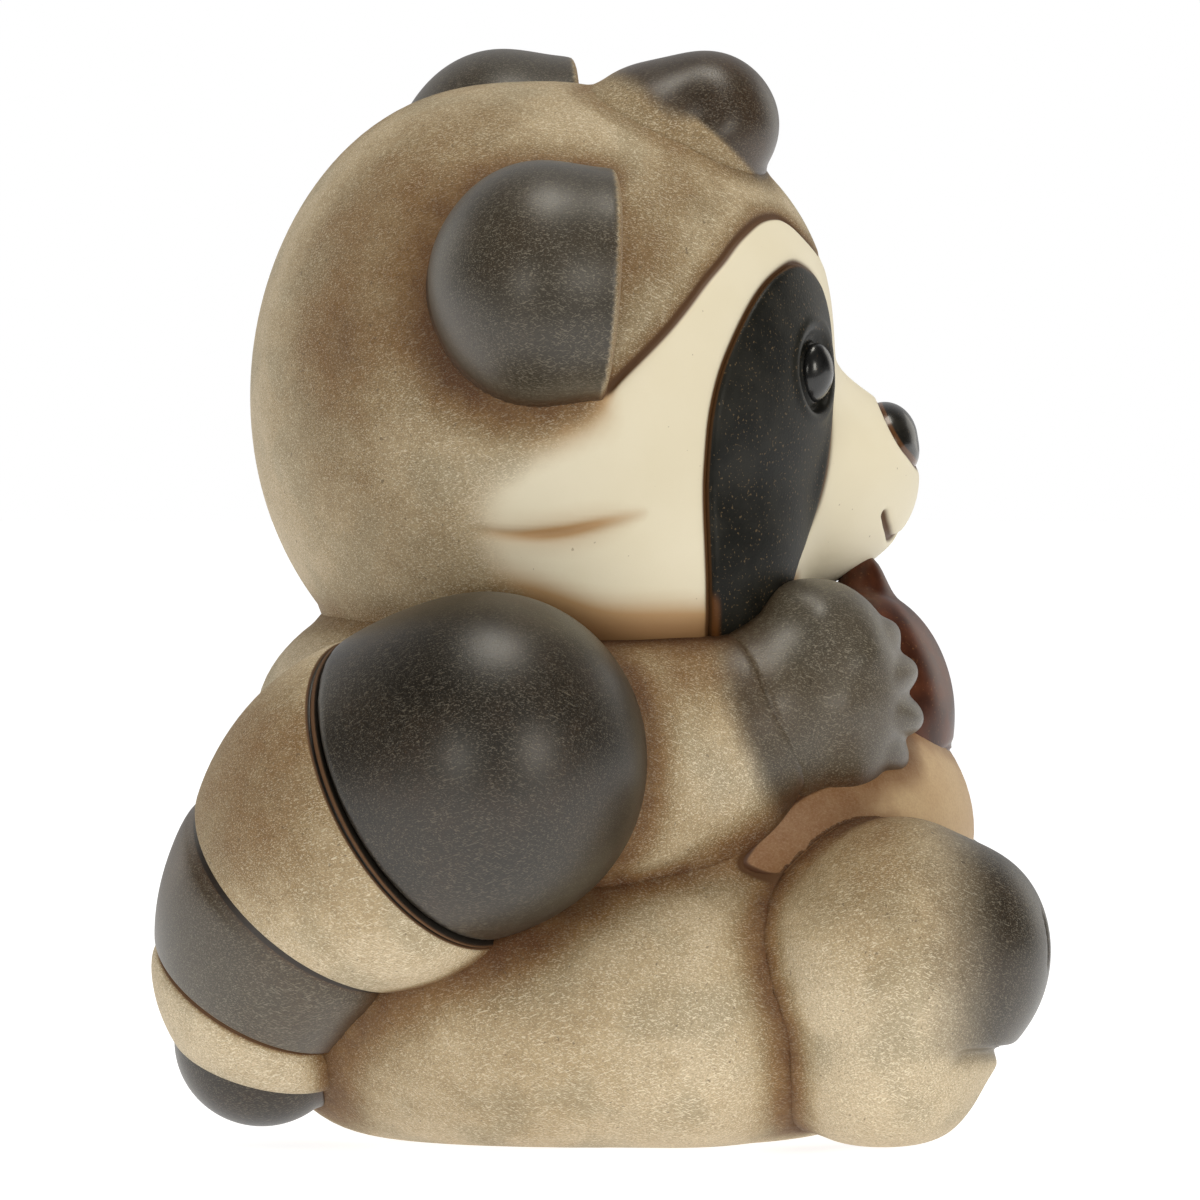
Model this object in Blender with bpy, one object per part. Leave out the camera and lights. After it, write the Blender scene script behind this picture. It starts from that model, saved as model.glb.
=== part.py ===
"""A seated ceramic raccoon that holds a chestnut under its chin.

The figurine is modelled as the clay pieces that it is put together from: a hollow body and a hollow
head, ears, forelock, raised eye masks, glazed eyes and nose, arms, paws, legs, feet, a belly panel
let in flush, a tail in stepped bands and the chestnut. It faces -Y, its right side is -X, and it stands
on the plane z = 0. Run it with: blender --background --python part.py
"""

import math

import bmesh
import bpy
from mathutils import Euler, Matrix, Vector

MM = 0.001

# How the clay is worked
CLAY_WALL = 4.5 * MM  # thickness of the cast walls
SEAT_GAP = 0.35 * MM  # room between two pieces that are luted together
VENT_HOLE_RADIUS = 4.0 * MM  # lets air out of the body while it is fired
NECK_HOLE_RADIUS = 7.0 * MM  # joins the hollow of the body to that of the head
BLEND = 4.0 * MM  # how softly one swelling of a form runs into the next

# Body: a round belly, the swell of the back and shoulders, and a broad seat. It stands on z = 0
TUMMY_WIDTH = 56.0 * MM
TUMMY_DEPTH = 61.0 * MM
TUMMY_HEIGHT = 42.0 * MM
TUMMY_FORWARD = 9.7 * MM
TUMMY_BELOW_BACK = 12.0 * MM  # from the middle of the back down to the middle of the belly
BACK_WIDTH = 52.0 * MM
BACK_DEPTH = 60.0 * MM
BACK_HEIGHT = 34.0 * MM
BACK_SHIFT = 7.4 * MM
BACK_MIDDLE_HEIGHT = 45.3 * MM
SEAT_WIDTH = 76.0 * MM
SEAT_DEPTH = 76.0 * MM
SEAT_HEIGHT = 43.0 * MM
SEAT_SHIFT = 1.0 * MM
SEAT_MIDDLE_HEIGHT = 16.0 * MM
BODY_HEART_HEIGHT = 33.0 * MM  # all swellings of the body hold this point
NECK_HEIGHT = BACK_MIDDLE_HEIGHT + BACK_HEIGHT / 2
TUMMY_FRONT = TUMMY_FORWARD + TUMMY_DEPTH / 2

# Belly panel, by angles seen from the heart of the body
BELLY_HALF_ANGLE = 62.0  # degrees round from the front
BELLY_TOP_ANGLE = 40.0  # degrees up
BELLY_FOOT_ANGLE = 40.0  # degrees down
BELLY_SQUARENESS = 0.8  # 1 is an oval, 0 a box
BELLY_MARGIN = 0.5  # degrees of room round the panel in its pocket
BELLY_DEPTH = 1.6 * MM

# Head, in its own frame: a skull, brow, muzzle and cheeks
HEAD_WIDTH = 66.0 * MM
HEAD_DEPTH = 63.4 * MM
HEAD_HEIGHT = 69.2 * MM
HEAD_SINK = 17.2 * MM  # how far the head's lowest point is sunk into the top of the body
HEAD_BACKSET = 6.3 * MM  # how far behind the middle of the body the head sits
HEAD_TILT = 14.0  # degrees, the right side down
HEAD_TURN = 3.0  # degrees, the face to its own left
HEAD_HEART_FORWARD = 6.0 * MM  # all swellings of the head hold its heart
HEAD_HEART_DROP = 7.0 * MM
CROWN_WIDTH = 54.0 * MM  # the swell of the skull behind and above
CROWN_DEPTH = 42.2 * MM
CROWN_HEIGHT = 55.0 * MM
CROWN_SETBACK = 7.9 * MM
CROWN_RISE = 5.2 * MM
BROW_WIDTH = 48.0 * MM
BROW_DEPTH = 43.0 * MM
BROW_HEIGHT = 38.0 * MM
BROW_RISE = 11.0 * MM
BROW_SETBACK = 1.9 * MM
MUZZLE_WIDTH = 30.0 * MM
MUZZLE_DEPTH = 38.0 * MM
MUZZLE_HEIGHT = 26.0 * MM
MUZZLE_LENGTH = 9.2 * MM  # how far the muzzle stands out in front of the skull
MUZZLE_DROP = 8.6 * MM
CHEEK_WIDTH = 40.0 * MM
CHEEK_DEPTH = 42.0 * MM
CHEEK_HEIGHT = 34.0 * MM
CHEEK_SPREAD = 26.0 * MM
CHEEK_FORWARD = 6.0 * MM
CHEEK_DROP = 13.0 * MM

# Ears
EAR_WIDTH = 26.4 * MM
EAR_HEIGHT = 26.0 * MM
EAR_DEPTH = 23.4 * MM
EAR_SETBACK = 7.5 * MM  # from the middle of its face to the middle of its back
EAR_MOUTH = 24.8 * MM  # across the cup at its face
EAR_MOUTH_DEPTH = 32.2 * MM
EAR_MOUTH_SETBACK = 3.1 * MM
EAR_BLEND = 1.0 * MM
EAR_OVERLAP = 6.0 * MM  # how far the middle of the ear lies inside the head's widest point
EAR_RISE = 19.6 * MM
EAR_FACE_FORWARD = 4.6 * MM
EAR_LEAN = 3.6  # degrees, the top of the cup forwards
EAR_RIM = 2.2 * MM
EAR_DISH = 3.0 * MM

# Forelock: a roll of hair that hooks down over the brow
LOCK_WIDTH = 22.0 * MM
LOCK_LENGTH = 20.2 * MM
LOCK_THICKNESS = 14.1 * MM
LOCK_FORWARD = 13.4 * MM
LOCK_SINK = 1.1 * MM  # how far the middle of the roll lies inside the crown
LOCK_HOOK = 3.0 * MM
LOCK_HOOK_DROP = 0.6 * MM
LOCK_HOOK_WIDTH = 14.0 * MM
LOCK_HOOK_DEPTH = 14.0 * MM
LOCK_HOOK_HEIGHT = 16.0 * MM

# Face
EYE_SPREAD = 30.6 * MM  # between the middles of the eyes
EYE_RISE = 6.6 * MM
EYE_WIDTH = 6.2 * MM
EYE_DEPTH = 4.6 * MM
EYE_HEIGHT = 6.6 * MM
EYE_SINK = 0.7 * MM
MASK_MIDDLE = (46, 12)  # degrees round from the front, degrees up, seen from the heart of the head
MASK_LEAF = (
    (22, 44), (33, 47.5), (48, 45), (58, 40), (68, 30), (72, 18), (73, 2), (71, -14),
    (60, -27), (48, -24), (42, -14), (34, -5), (28, 7), (22, 20), (19, 33),
)
MASK_MARGIN = 0.6  # degrees of room round a mask in its pocket
MASK_RAISE = 0.6 * MM
MASK_DEPTH = 1.6 * MM
NOSE_WIDTH = 10.5 * MM
NOSE_HEIGHT = 8.2 * MM
NOSE_LENGTH = 7.2 * MM
NOSE_RISE = 4.1 * MM  # above the middle of the muzzle
NOSE_SINK = 2.5 * MM
NOSE_WALK = 16.0 * MM  # in front of the skull's middle: from here the muzzle's skin is sought

# Arms and paws, given for the right side
SHOULDER_OUT = 27.0 * MM
SHOULDER_BACK = 3.0 * MM
SHOULDER_BELOW_NECK = 21.3 * MM
ARM_WIDTH = 24.0 * MM
ARM_LENGTH = 30.0 * MM
ARM_THICKNESS = 26.5 * MM
FOREARM_REACH = 10.0 * MM
FOREARM_LENGTH = 27.0 * MM
WRIST_BOW = 1.0 * MM
WRIST_BELOW_NECK = 20.5 * MM
WRIST_WIDTH = 21.0 * MM
WRIST_THICKNESS = 26.0 * MM
PAW_OUT = 17.0 * MM
PAW_BEHIND_TUMMY = 17.8 * MM
PAW_BELOW_NECK = 14.1 * MM
PAW_WIDTH = 19.0 * MM
PAW_DEPTH = 18.8 * MM
PAW_THICKNESS = 25.6 * MM
FINGER_LENGTHS = (11.1 * MM, 10.8 * MM, 11.3 * MM, 11.7 * MM)  # from the top finger to the lowest
FINGER_FAN = (42.0, 16.0, -13.0, -38.0)  # degrees above the level
FINGER_WIDTH = 6.2 * MM
FINGER_SPREAD = 13.0 * MM
FINGER_ROOT = 1.0 * MM
FINGER_TURN_IN = 0.25
FINGER_BLEND = 1.2 * MM

# Legs and feet, given for the right side
LEG_OUT = 25.0 * MM
LEG_BEHIND_TOES = 20.5 * MM
LEG_WIDTH = 31.0 * MM
LEG_DEPTH = 24.4 * MM
LEG_TOP = 35.0 * MM
LEG_BELOW_BASE = 3.0 * MM
HEEL_FORWARD = 3.6 * MM
HEEL_WIDTH = 26.0 * MM
HEEL_DEPTH = 21.0 * MM
HEEL_HEIGHT = 20.0 * MM
FOOT_OUT = 25.5 * MM
FOOT_REACH = 46.9 * MM
TOES_WIDTH = 22.0 * MM
TOES_DEPTH = 15.2 * MM
TOES_HEIGHT = 20.9 * MM
TOES_MIDDLE_HEIGHT = 21.2 * MM
INSTEP_WIDTH = 26.0 * MM
INSTEP_DEPTH = 22.7 * MM
INSTEP_HEIGHT = 28.3 * MM
INSTEP_SETBACK = 8.6 * MM
INSTEP_MIDDLE_HEIGHT = 24.0 * MM

# Tail: its middle line from ring to ring, with one more point for the way on into the ball at its end
TAIL_SPINE = (
    (-13.2 * MM, 35.3 * MM, 9.6 * MM),
    (-17.0 * MM, 36.8 * MM, 18.0 * MM),
    (-23.4 * MM, 31.4 * MM, 28.6 * MM),
    (-31.4 * MM, 19.9 * MM, BACK_MIDDLE_HEIGHT - 7.1 * MM),
    (-36.0 * MM, 13.4 * MM, BACK_MIDDLE_HEIGHT - 7.1 * MM),
)
TAIL_BALL_MIDDLE = (-36.0 * MM, 13.4 * MM, BACK_MIDDLE_HEIGHT - 3.5 * MM)
TAIL_RADII = (8.8 * MM, 12.2 * MM, 15.5 * MM, 18.5 * MM)  # at the rings
TAIL_BALL_WIDTH = 35.8 * MM
TAIL_BALL_LENGTH = 34.0 * MM
TAIL_BANDS = (
    ("tail_band_pale_lower", "fur"),
    ("tail_band_dark", "dark_fur"),
    ("tail_band_pale_upper", "fur"),
)
TAIL_BARRELS = (0.8 * MM, 0.4 * MM, 1.7 * MM)  # how far each band swells between its rings
TAIL_EDGE = 0.7 * MM  # rounding at the rings
TAIL_EDGE_SHARPNESS = 20
RING_RUN = 0.1  # how far a band runs past its rings before it is cut, as a share of its spacing
TAIL_ROOT_SHIFT = (1.0 * MM, -1.4 * MM, 1.1 * MM)
TAIL_ROOT_WIDTH = 17.2 * MM
TAIL_ROOT_LENGTH = 21.0 * MM
TAIL_ROOT_HEIGHT = 17.8 * MM

# Chestnut
CHESTNUT_WIDTH = 26.0 * MM
CHESTNUT_DEPTH = 21.6 * MM
CHESTNUT_HEIGHT = 28.6 * MM
CHESTNUT_BEHIND_TUMMY = 12.8 * MM
CHESTNUT_BELOW_NECK = 17.0 * MM
CHESTNUT_TIP_LENGTH = 3.0 * MM
CHESTNUT_TIP_FORWARD = 0.9 * MM
CHESTNUT_TIP_WIDTH = 7.0 * MM
CHESTNUT_TIP_ROOT = 1.0 * MM
CHESTNUT_TIP_BLEND = 2.0 * MM

# How finely each kind of form is worked: cuts along a side of the cube that it starts from
CUT_COUNTS = {"body": 8, "head": 8, "hollow": 3, "limb": 5, "paw": 7, "tail_tip": 7, "small": 4, "bead": 2}
# How finely each line is drawn, in steps
STEP_COUNTS = {"mask": 2, "belly": 24, "tail": 6, "tail_sides": 7, "rod": 24, "walk": 40}
NEIGHBOURS = (-1, 0, 1, 2)  # the points of a smooth line that shape one stretch of it
CONE_REACH = 70.0 * MM  # longer than any form reaches from its heart
LONGEST_WALK = 200.0 * MM
WELD = 0.01 * MM

COLOURS = {
    "fur": (0.40, 0.32, 0.20),
    "dark_fur": (0.080, 0.060, 0.042),
    "mask": (0.018, 0.018, 0.013),
    "eye": (0.008, 0.008, 0.008),
    "nose": (0.012, 0.011, 0.009),
    "belly": (0.55, 0.37, 0.20),
    "chestnut": (0.10, 0.032, 0.014),
}
GLOSS = {"eye": 0.12, "nose": 0.15, "chestnut": 0.3, "mask": 0.42}
SATIN = 0.55


class Form:
    """A soft clay form: swellings, each an ellipsoid, that run into one another round a heart point."""

    def __init__(self, heart, swellings, blend=BLEND):
        self.heart = Vector(heart)
        self.swellings = [(Vector(middle), Vector(radii), lift) for middle, radii, lift in swellings]
        self.blend = blend

    def reach(self, direction):
        """How far the skin of the form lies from its heart in a direction."""
        found = None
        for middle, radii, lift in self.swellings:
            level = Matrix.Rotation(lift, 3, "X")
            out = edge_of_ellipsoid(level @ direction, level @ (middle - self.heart), radii)
            found = out if found is None else smooth_max(found, out, self.blend)
        return found

    def mirrored(self):
        flip = Vector((-1, 1, 1))
        swellings = [(middle * flip, radii, lift) for middle, radii, lift in self.swellings]
        return Form(self.heart * flip, swellings, self.blend)

    def surface(self, start, direction):
        """The point where a straight walk from start leaves the form."""
        near, far = 0.0, LONGEST_WALK
        for _ in range(STEP_COUNTS["walk"]):
            half = (near + far) / 2
            out = start + direction * half - self.heart
            if out.length < self.reach(out.normalized()):
                near = half
            else:
                far = half
        return start + direction * near


def edge_of_ellipsoid(direction, offset, radii):
    """Distance along a direction from a point inside an ellipsoid to its skin."""
    way = Vector(d / r for d, r in zip(direction, radii))
    away = Vector(o / r for o, r in zip(offset, radii))
    a = way.dot(way)
    b = way.dot(away)
    c = away.dot(away) - 1
    return (b + math.sqrt(max(b * b - a * c, 0))) / a


def smooth_max(first, second, blend):
    overlap = max(blend - abs(first - second), 0) / blend
    return max(first, second) + overlap * overlap * blend / 4


def clear_scene():
    for obj in list(bpy.data.objects):
        bpy.data.objects.remove(obj)


def material(kind):
    found = bpy.data.materials.get(kind)
    if found:
        return found
    made = bpy.data.materials.new(kind)
    made.use_nodes = True
    shader = made.node_tree.nodes["Principled BSDF"]
    shader.inputs["Base Color"].default_value = (*COLOURS[kind], 1)
    shader.inputs["Roughness"].default_value = GLOSS.get(kind, SATIN)
    shader.inputs["Metallic"].default_value = 0
    return made


def clay_grid(form, grow, cuts, floor=None):
    """A cube cut into a grid, each point pushed out to the skin of a form."""
    bm = bmesh.new()
    bmesh.ops.create_cube(bm, size=1)
    bmesh.ops.subdivide_edges(bm, edges=bm.edges[:], cuts=cuts, use_grid_fill=True)
    for vert in bm.verts:
        even = Vector(math.tan(c * math.pi / 2) for c in vert.co)
        direction = even.normalized()
        vert.co = form.heart + direction * (form.reach(direction) + grow)
        if floor is not None:
            vert.co.z = max(vert.co.z, floor)
    bmesh.ops.triangulate(bm, faces=bm.faces[:], quad_method="FIXED")
    return bm


def add_object(name, bm, kind, parent=None):
    """Makes the mesh an object: a piece with a material, or a cutter where kind is None."""
    mesh = bpy.data.meshes.new(name)
    bm.to_mesh(mesh)
    bm.free()
    obj = bpy.data.objects.new(name, mesh)
    obj.parent = parent or STAND
    mesh.shade_smooth()
    if kind is None:
        CUTTERS.objects.link(obj)
        obj.hide_render = True
        obj.display_type = "WIRE"
    else:
        PIECES.objects.link(obj)
        mesh.materials.append(material(kind))
    return obj


def clay(name, form, kind, parent=None, grow=0.0, fineness="limb", floor=None):
    return add_object(name, clay_grid(form, grow, CUT_COUNTS[fineness], floor), kind, parent)


def boolean(obj, tool, operation="DIFFERENCE"):
    """Cuts or keeps by another shape. The exact solver loses whole pieces where many soft seats cross."""
    mod = obj.modifiers.new(f"{operation.lower()} {tool.name}", "BOOLEAN")
    mod.solver = "MANIFOLD"
    mod.operation = operation
    mod.object = tool


def cut(obj, *tools):
    for tool in tools:
        boolean(obj, tool)


def cone_cutter(name, heart, directions, reach, parent=None, kind=None):
    """A cone with its point at the heart of a form and its rim along a closed line of directions."""
    bm = bmesh.new()
    point = bm.verts.new(heart)
    far = bm.verts.new(heart + sum(directions, Vector()).normalized() * reach)
    rim = [bm.verts.new(heart + way * reach) for way in directions]
    for this, after in zip(rim, rim[1:] + rim[:1]):
        bm.faces.new((point, after, this))
        bm.faces.new((far, this, after))
    bmesh.ops.recalc_face_normals(bm, faces=bm.faces[:])
    return add_object(name, bm, kind, parent)


def box_cutter(name, low, high, parent=None):
    bm = bmesh.new()
    bmesh.ops.create_cube(bm, size=1)
    for vert in bm.verts:
        vert.co = Vector(lo if c < 0 else hi for c, lo, hi in zip(vert.co, low, high))
    return add_object(name, bm, None, parent)


def rod_cutter(name, radius, low, high):
    bm = bmesh.new()
    sides = STEP_COUNTS["rod"]
    tall = high - low
    bmesh.ops.create_cone(bm, cap_ends=True, segments=sides, radius1=radius, radius2=radius, depth=tall)
    bmesh.ops.translate(bm, verts=bm.verts[:], vec=(0, 0, (low + high) / 2))
    return add_object(name, bm, None)


def face_direction(around, up):
    """Unit vector at so many degrees round from the front towards -X, and so many degrees up."""
    around, up = math.radians(around), math.radians(up)
    return Vector((-math.sin(around) * math.cos(up), -math.cos(around) * math.cos(up), math.sin(up)))


def closed_curve(points, steps):
    """A smooth closed line through the points, as a list."""
    line = []
    for i in range(len(points)):
        p0, p1, p2, p3 = (Vector(points[(i + k) % len(points)]) for k in NEIGHBOURS)
        line += [smooth_between(p0, p1, p2, p3, step / steps) for step in range(steps)]
    return line


def smooth_between(p0, p1, p2, p3, t):
    """Catmull-Rom: a point between p1 and p2."""
    straight = (p2 - p0) * t
    bend = (p0 * 2 - p1 * 5 + p2 * 4 - p3) * t**2
    twist = (p1 * 3 - p0 - p2 * 3 + p3) * t**3
    return p1 + (straight + bend + twist) / 2


def body_form():
    """The seated body: a round belly, the back with the shoulders, and a broad seat."""
    tummy_middle = (0, -TUMMY_FORWARD, BACK_MIDDLE_HEIGHT - TUMMY_BELOW_BACK)
    tummy = swelling(tummy_middle, TUMMY_WIDTH, TUMMY_DEPTH, TUMMY_HEIGHT)
    back = swelling((0, BACK_SHIFT, BACK_MIDDLE_HEIGHT), BACK_WIDTH, BACK_DEPTH, BACK_HEIGHT)
    seat = swelling((0, SEAT_SHIFT, SEAT_MIDDLE_HEIGHT), SEAT_WIDTH, SEAT_DEPTH, SEAT_HEIGHT)
    return Form((0, 0, BODY_HEART_HEIGHT), (tummy, back, seat))


def head_form():
    """The head in its own frame, whose origin is the middle of the skull."""
    front = HEAD_DEPTH / 2
    skull = swelling((0, 0, 0), HEAD_WIDTH, HEAD_DEPTH, HEAD_HEIGHT)
    crown = swelling((0, CROWN_SETBACK, CROWN_RISE), CROWN_WIDTH, CROWN_DEPTH, CROWN_HEIGHT)
    brow_back = front - BROW_DEPTH / 2 - BROW_SETBACK
    brow = swelling((0, -brow_back, BROW_RISE), BROW_WIDTH, BROW_DEPTH, BROW_HEIGHT)
    muzzle_back = front + MUZZLE_LENGTH - MUZZLE_DEPTH / 2
    muzzle = swelling((0, -muzzle_back, -MUZZLE_DROP), MUZZLE_WIDTH, MUZZLE_DEPTH, MUZZLE_HEIGHT)
    cheeks = [
        swelling((out, -CHEEK_FORWARD, -CHEEK_DROP), CHEEK_WIDTH, CHEEK_DEPTH, CHEEK_HEIGHT)
        for out in (-CHEEK_SPREAD / 2, CHEEK_SPREAD / 2)
    ]
    return Form((0, -HEAD_HEART_FORWARD, -HEAD_HEART_DROP), (skull, crown, brow, muzzle, *cheeks))


def arm_form():
    """The right arm: a thick roll that runs forwards from the shoulder to the wrist."""
    shoulder = (-SHOULDER_OUT, SHOULDER_BACK, NECK_HEIGHT - SHOULDER_BELOW_NECK)
    upper = swelling(shoulder, ARM_WIDTH, ARM_LENGTH, ARM_THICKNESS)
    wrist_out = (SHOULDER_OUT + PAW_OUT) / 2 + WRIST_BOW
    wrist = (-wrist_out, SHOULDER_BACK - FOREARM_REACH, NECK_HEIGHT - WRIST_BELOW_NECK)
    fore = swelling(wrist, WRIST_WIDTH, FOREARM_LENGTH, WRIST_THICKNESS)
    heart = ((upper[0] + fore[0]) / 2)
    return Form(heart, (upper, fore))


def paw_form():
    """The right paw: a palm, a thumb mound and four fingers that fan out forwards."""
    middle = Vector((-PAW_OUT, PAW_BEHIND_TUMMY - TUMMY_FRONT, NECK_HEIGHT - PAW_BELOW_NECK))
    swellings = [swelling(middle, PAW_WIDTH, PAW_DEPTH, PAW_THICKNESS)]
    for length, degrees in zip(FINGER_LENGTHS, FINGER_FAN):
        lift = math.radians(degrees)
        half = length / 2
        along = Vector((FINGER_TURN_IN, -math.cos(lift), math.sin(lift))) * half
        finger = swelling(middle + along, FINGER_SPREAD, length + FINGER_ROOT, FINGER_WIDTH, lift)
        swellings.append(finger)
    return Form(middle, swellings, FINGER_BLEND)


def leg_form():
    """The right leg: a thigh that stands up to the knee, and the heel that it rests on."""
    middle = LEG_TOP / 2
    front = LEG_BEHIND_TOES - FOOT_REACH
    thigh = swelling((-LEG_OUT, front, middle), LEG_WIDTH, LEG_DEPTH, LEG_TOP + LEG_BELOW_BASE)
    heel_middle = (-LEG_OUT, front - HEEL_FORWARD, HEEL_HEIGHT / 2)
    heel = swelling(heel_middle, HEEL_WIDTH, HEEL_DEPTH, HEEL_HEIGHT)
    return Form((-LEG_OUT, front - HEEL_FORWARD / 4, middle), (thigh, heel))


def foot_form():
    """The right foot: a round pad above the heel, with the toes at its front."""
    toes_middle = Vector((-FOOT_OUT, TOES_DEPTH / 2 - FOOT_REACH, TOES_MIDDLE_HEIGHT))
    instep_middle = Vector((-FOOT_OUT, toes_middle.y + INSTEP_SETBACK, INSTEP_MIDDLE_HEIGHT))
    toes = swelling(toes_middle, TOES_WIDTH, TOES_DEPTH, TOES_HEIGHT)
    instep = swelling(instep_middle, INSTEP_WIDTH, INSTEP_DEPTH, INSTEP_HEIGHT)
    return Form((toes_middle + instep_middle) / 2, (toes, instep))


def chestnut_form():
    """The nut: a plump drop whose tip shows under the chin."""
    middle = Vector((0, CHESTNUT_BEHIND_TUMMY - TUMMY_FRONT, NECK_HEIGHT - CHESTNUT_BELOW_NECK))
    nut = swelling(middle, CHESTNUT_WIDTH, CHESTNUT_DEPTH, CHESTNUT_HEIGHT)
    reach = CHESTNUT_HEIGHT / 2 + CHESTNUT_TIP_LENGTH
    tip_middle = middle + Vector((0, -CHESTNUT_TIP_FORWARD, reach / 2))
    tip = swelling(tip_middle, CHESTNUT_TIP_WIDTH, CHESTNUT_TIP_WIDTH, reach + CHESTNUT_TIP_ROOT)
    return Form(middle, (nut, tip), CHESTNUT_TIP_BLEND)


def swelling(middle, width, depth, height, lift=0.0):
    """One ellipsoid of a form by its full sizes, lifted at its front by an angle."""
    return Vector(middle), Vector((width, depth, height)) / 2, lift


def lone_form(middle, width, depth, height):
    return Form(middle, (swelling(middle, width, depth, height),))


def head_pose():
    """The empty that carries the head: the middle of the skull, tilted and turned."""
    pose = bpy.data.objects.new("head_pose", None)
    pose.parent = STAND
    PIECES.objects.link(pose)
    pose.location = (0, HEAD_BACKSET, NECK_HEIGHT - HEAD_SINK + HEAD_HEIGHT / 2)
    pose.rotation_euler = Euler((0, math.radians(-HEAD_TILT), math.radians(HEAD_TURN)))
    return pose


def mask_directions(side, margin):
    """Round the leaf-shaped patch at one eye, as directions from the head's heart."""
    middle = Vector(MASK_MIDDLE)
    line = closed_curve([Vector(p) for p in MASK_LEAF], STEP_COUNTS["mask"])
    grown = [p + (p - middle).normalized() * margin for p in line]
    return [face_direction(p.x * side, p.y) for p in grown]


def belly_directions(margin):
    """Round the belly panel, as directions from the body's heart."""
    line = []
    for step in range(STEP_COUNTS["belly"]):
        turn = step * math.tau / STEP_COUNTS["belly"]
        tall = BELLY_TOP_ANGLE if math.sin(turn) > 0 else BELLY_FOOT_ANGLE
        around = rounded(math.cos(turn)) * (BELLY_HALF_ANGLE + margin)
        line.append(face_direction(around, rounded(math.sin(turn)) * (tall + margin)))
    return line


def rounded(share):
    """Squares an oval up a little: the belly panel's outline lies between an oval and a box."""
    return math.copysign(abs(share) ** BELLY_SQUARENESS, share)


def spine_point(t):
    """A point on the tail's middle line; t counts the spine's points from 0."""
    last = len(TAIL_SPINE) - 1
    i = min(max(int(t), 0), last - 1)
    ends = [Vector(TAIL_SPINE[min(max(i + k, 0), last)]) for k in NEIGHBOURS]
    return smooth_between(*ends, t - i)


def tube_along_tail(name, start, end, radius_at, kind=None):
    """A stretch of the tail: a curve along the spine with a radius at each point, made a mesh."""
    curve = bpy.data.curves.new(name, "CURVE")
    curve.dimensions = "3D"
    curve.bevel_depth = 1
    curve.bevel_resolution = STEP_COUNTS["tail_sides"]
    curve.use_fill_caps = True
    spline = curve.splines.new("POLY")
    spline.points.add(STEP_COUNTS["tail"])
    for i, point in enumerate(spline.points):
        share = (1 - math.cos(i / STEP_COUNTS["tail"] * math.pi)) / 2
        point.co = (*spine_point(start + (end - start) * share), 1)
        point.radius = radius_at(share)
    holder = bpy.data.objects.new(name, curve)
    PIECES.objects.link(holder)
    bpy.context.view_layer.update()
    graph = bpy.context.evaluated_depsgraph_get()
    mesh = bpy.data.meshes.new_from_object(holder.evaluated_get(graph))
    bpy.data.objects.remove(holder)
    bm = bmesh.new()
    bm.from_mesh(mesh)
    bmesh.ops.remove_doubles(bm, verts=bm.verts[:], dist=WELD)
    bmesh.ops.recalc_face_normals(bm, faces=bm.faces[:])
    return add_object(name, bm, kind)


def band_radius(i, grow=0.0):
    """The radius along band i, which swells a little between its rings and is rounded at them."""

    def radius_at(share):
        thick = TAIL_RADII[i] + (TAIL_RADII[i + 1] - TAIL_RADII[i]) * share
        edge = TAIL_EDGE * math.cos(share * math.pi) ** TAIL_EDGE_SHARPNESS
        return thick + TAIL_BARRELS[i] * math.sin(share * math.pi) - edge + grow

    return radius_at


def band_tube(i, name, kind=None, grow=0.0):
    return tube_along_tail(name, i - RING_RUN, i + 1 + RING_RUN, band_radius(i, grow), kind)


def tip_form():
    """The ball at the end of the tail, drawn out towards its ring."""
    ring = Vector(TAIL_SPINE[len(TAIL_BANDS)])
    middle = Vector(TAIL_BALL_MIDDLE)
    across = TAIL_BALL_WIDTH
    ball = swelling(middle, TAIL_BALL_WIDTH, TAIL_BALL_LENGTH, TAIL_BALL_WIDTH)
    return Form(middle, (ball, swelling(ring, across, across, across)))


def ring_cutter(ring, side):
    """A block square to the tail's middle line, all that lies ahead of a ring (side 1) or behind it."""
    along = (spine_point(ring + RING_RUN) - spine_point(ring - RING_RUN)).normalized()
    far = CONE_REACH
    bottom, top = (-SEAT_GAP / 2, far) if side > 0 else (-far, SEAT_GAP / 2)
    word = "ahead" if side > 0 else "behind"
    block = box_cutter(f"tail_ring_{ring}_{word}", (-far, -far, bottom), (far, far, top))
    block.location = TAIL_SPINE[ring]
    block.rotation_euler = along.to_track_quat("Z", "Y").to_euler()
    return block


def make_tail(body_seat, head_seat):
    """The striped tail: a root, stepped bands and the big rounded tip; returns its seats."""
    behind = [ring_cutter(ring, -1) for ring in range(len(TAIL_RADII))]
    ahead = [ring_cutter(ring, 1) for ring in range(len(TAIL_RADII))]
    middle = Vector(TAIL_SPINE[0]) + Vector(TAIL_ROOT_SHIFT)
    root_form = lone_form(middle, TAIL_ROOT_WIDTH, TAIL_ROOT_LENGTH, TAIL_ROOT_HEIGHT)
    cut(clay("tail_root", root_form, "dark_fur"), ahead[0], body_seat)
    for i, (name, kind) in enumerate(TAIL_BANDS):
        cut(band_tube(i, name, kind), behind[i], ahead[i + 1], body_seat, head_seat)
    tip = clay("tail_tip", tip_form(), "dark_fur", fineness="tail_tip")
    cut(tip, behind[-1], body_seat, head_seat)
    tip_seat = clay("tail_tip_seat", tip_form(), None, grow=SEAT_GAP, fineness="tail_tip")
    return tip_seat, band_tube(len(TAIL_BANDS) - 1, "tail_upper_seat", grow=SEAT_GAP + TAIL_EDGE)


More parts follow.
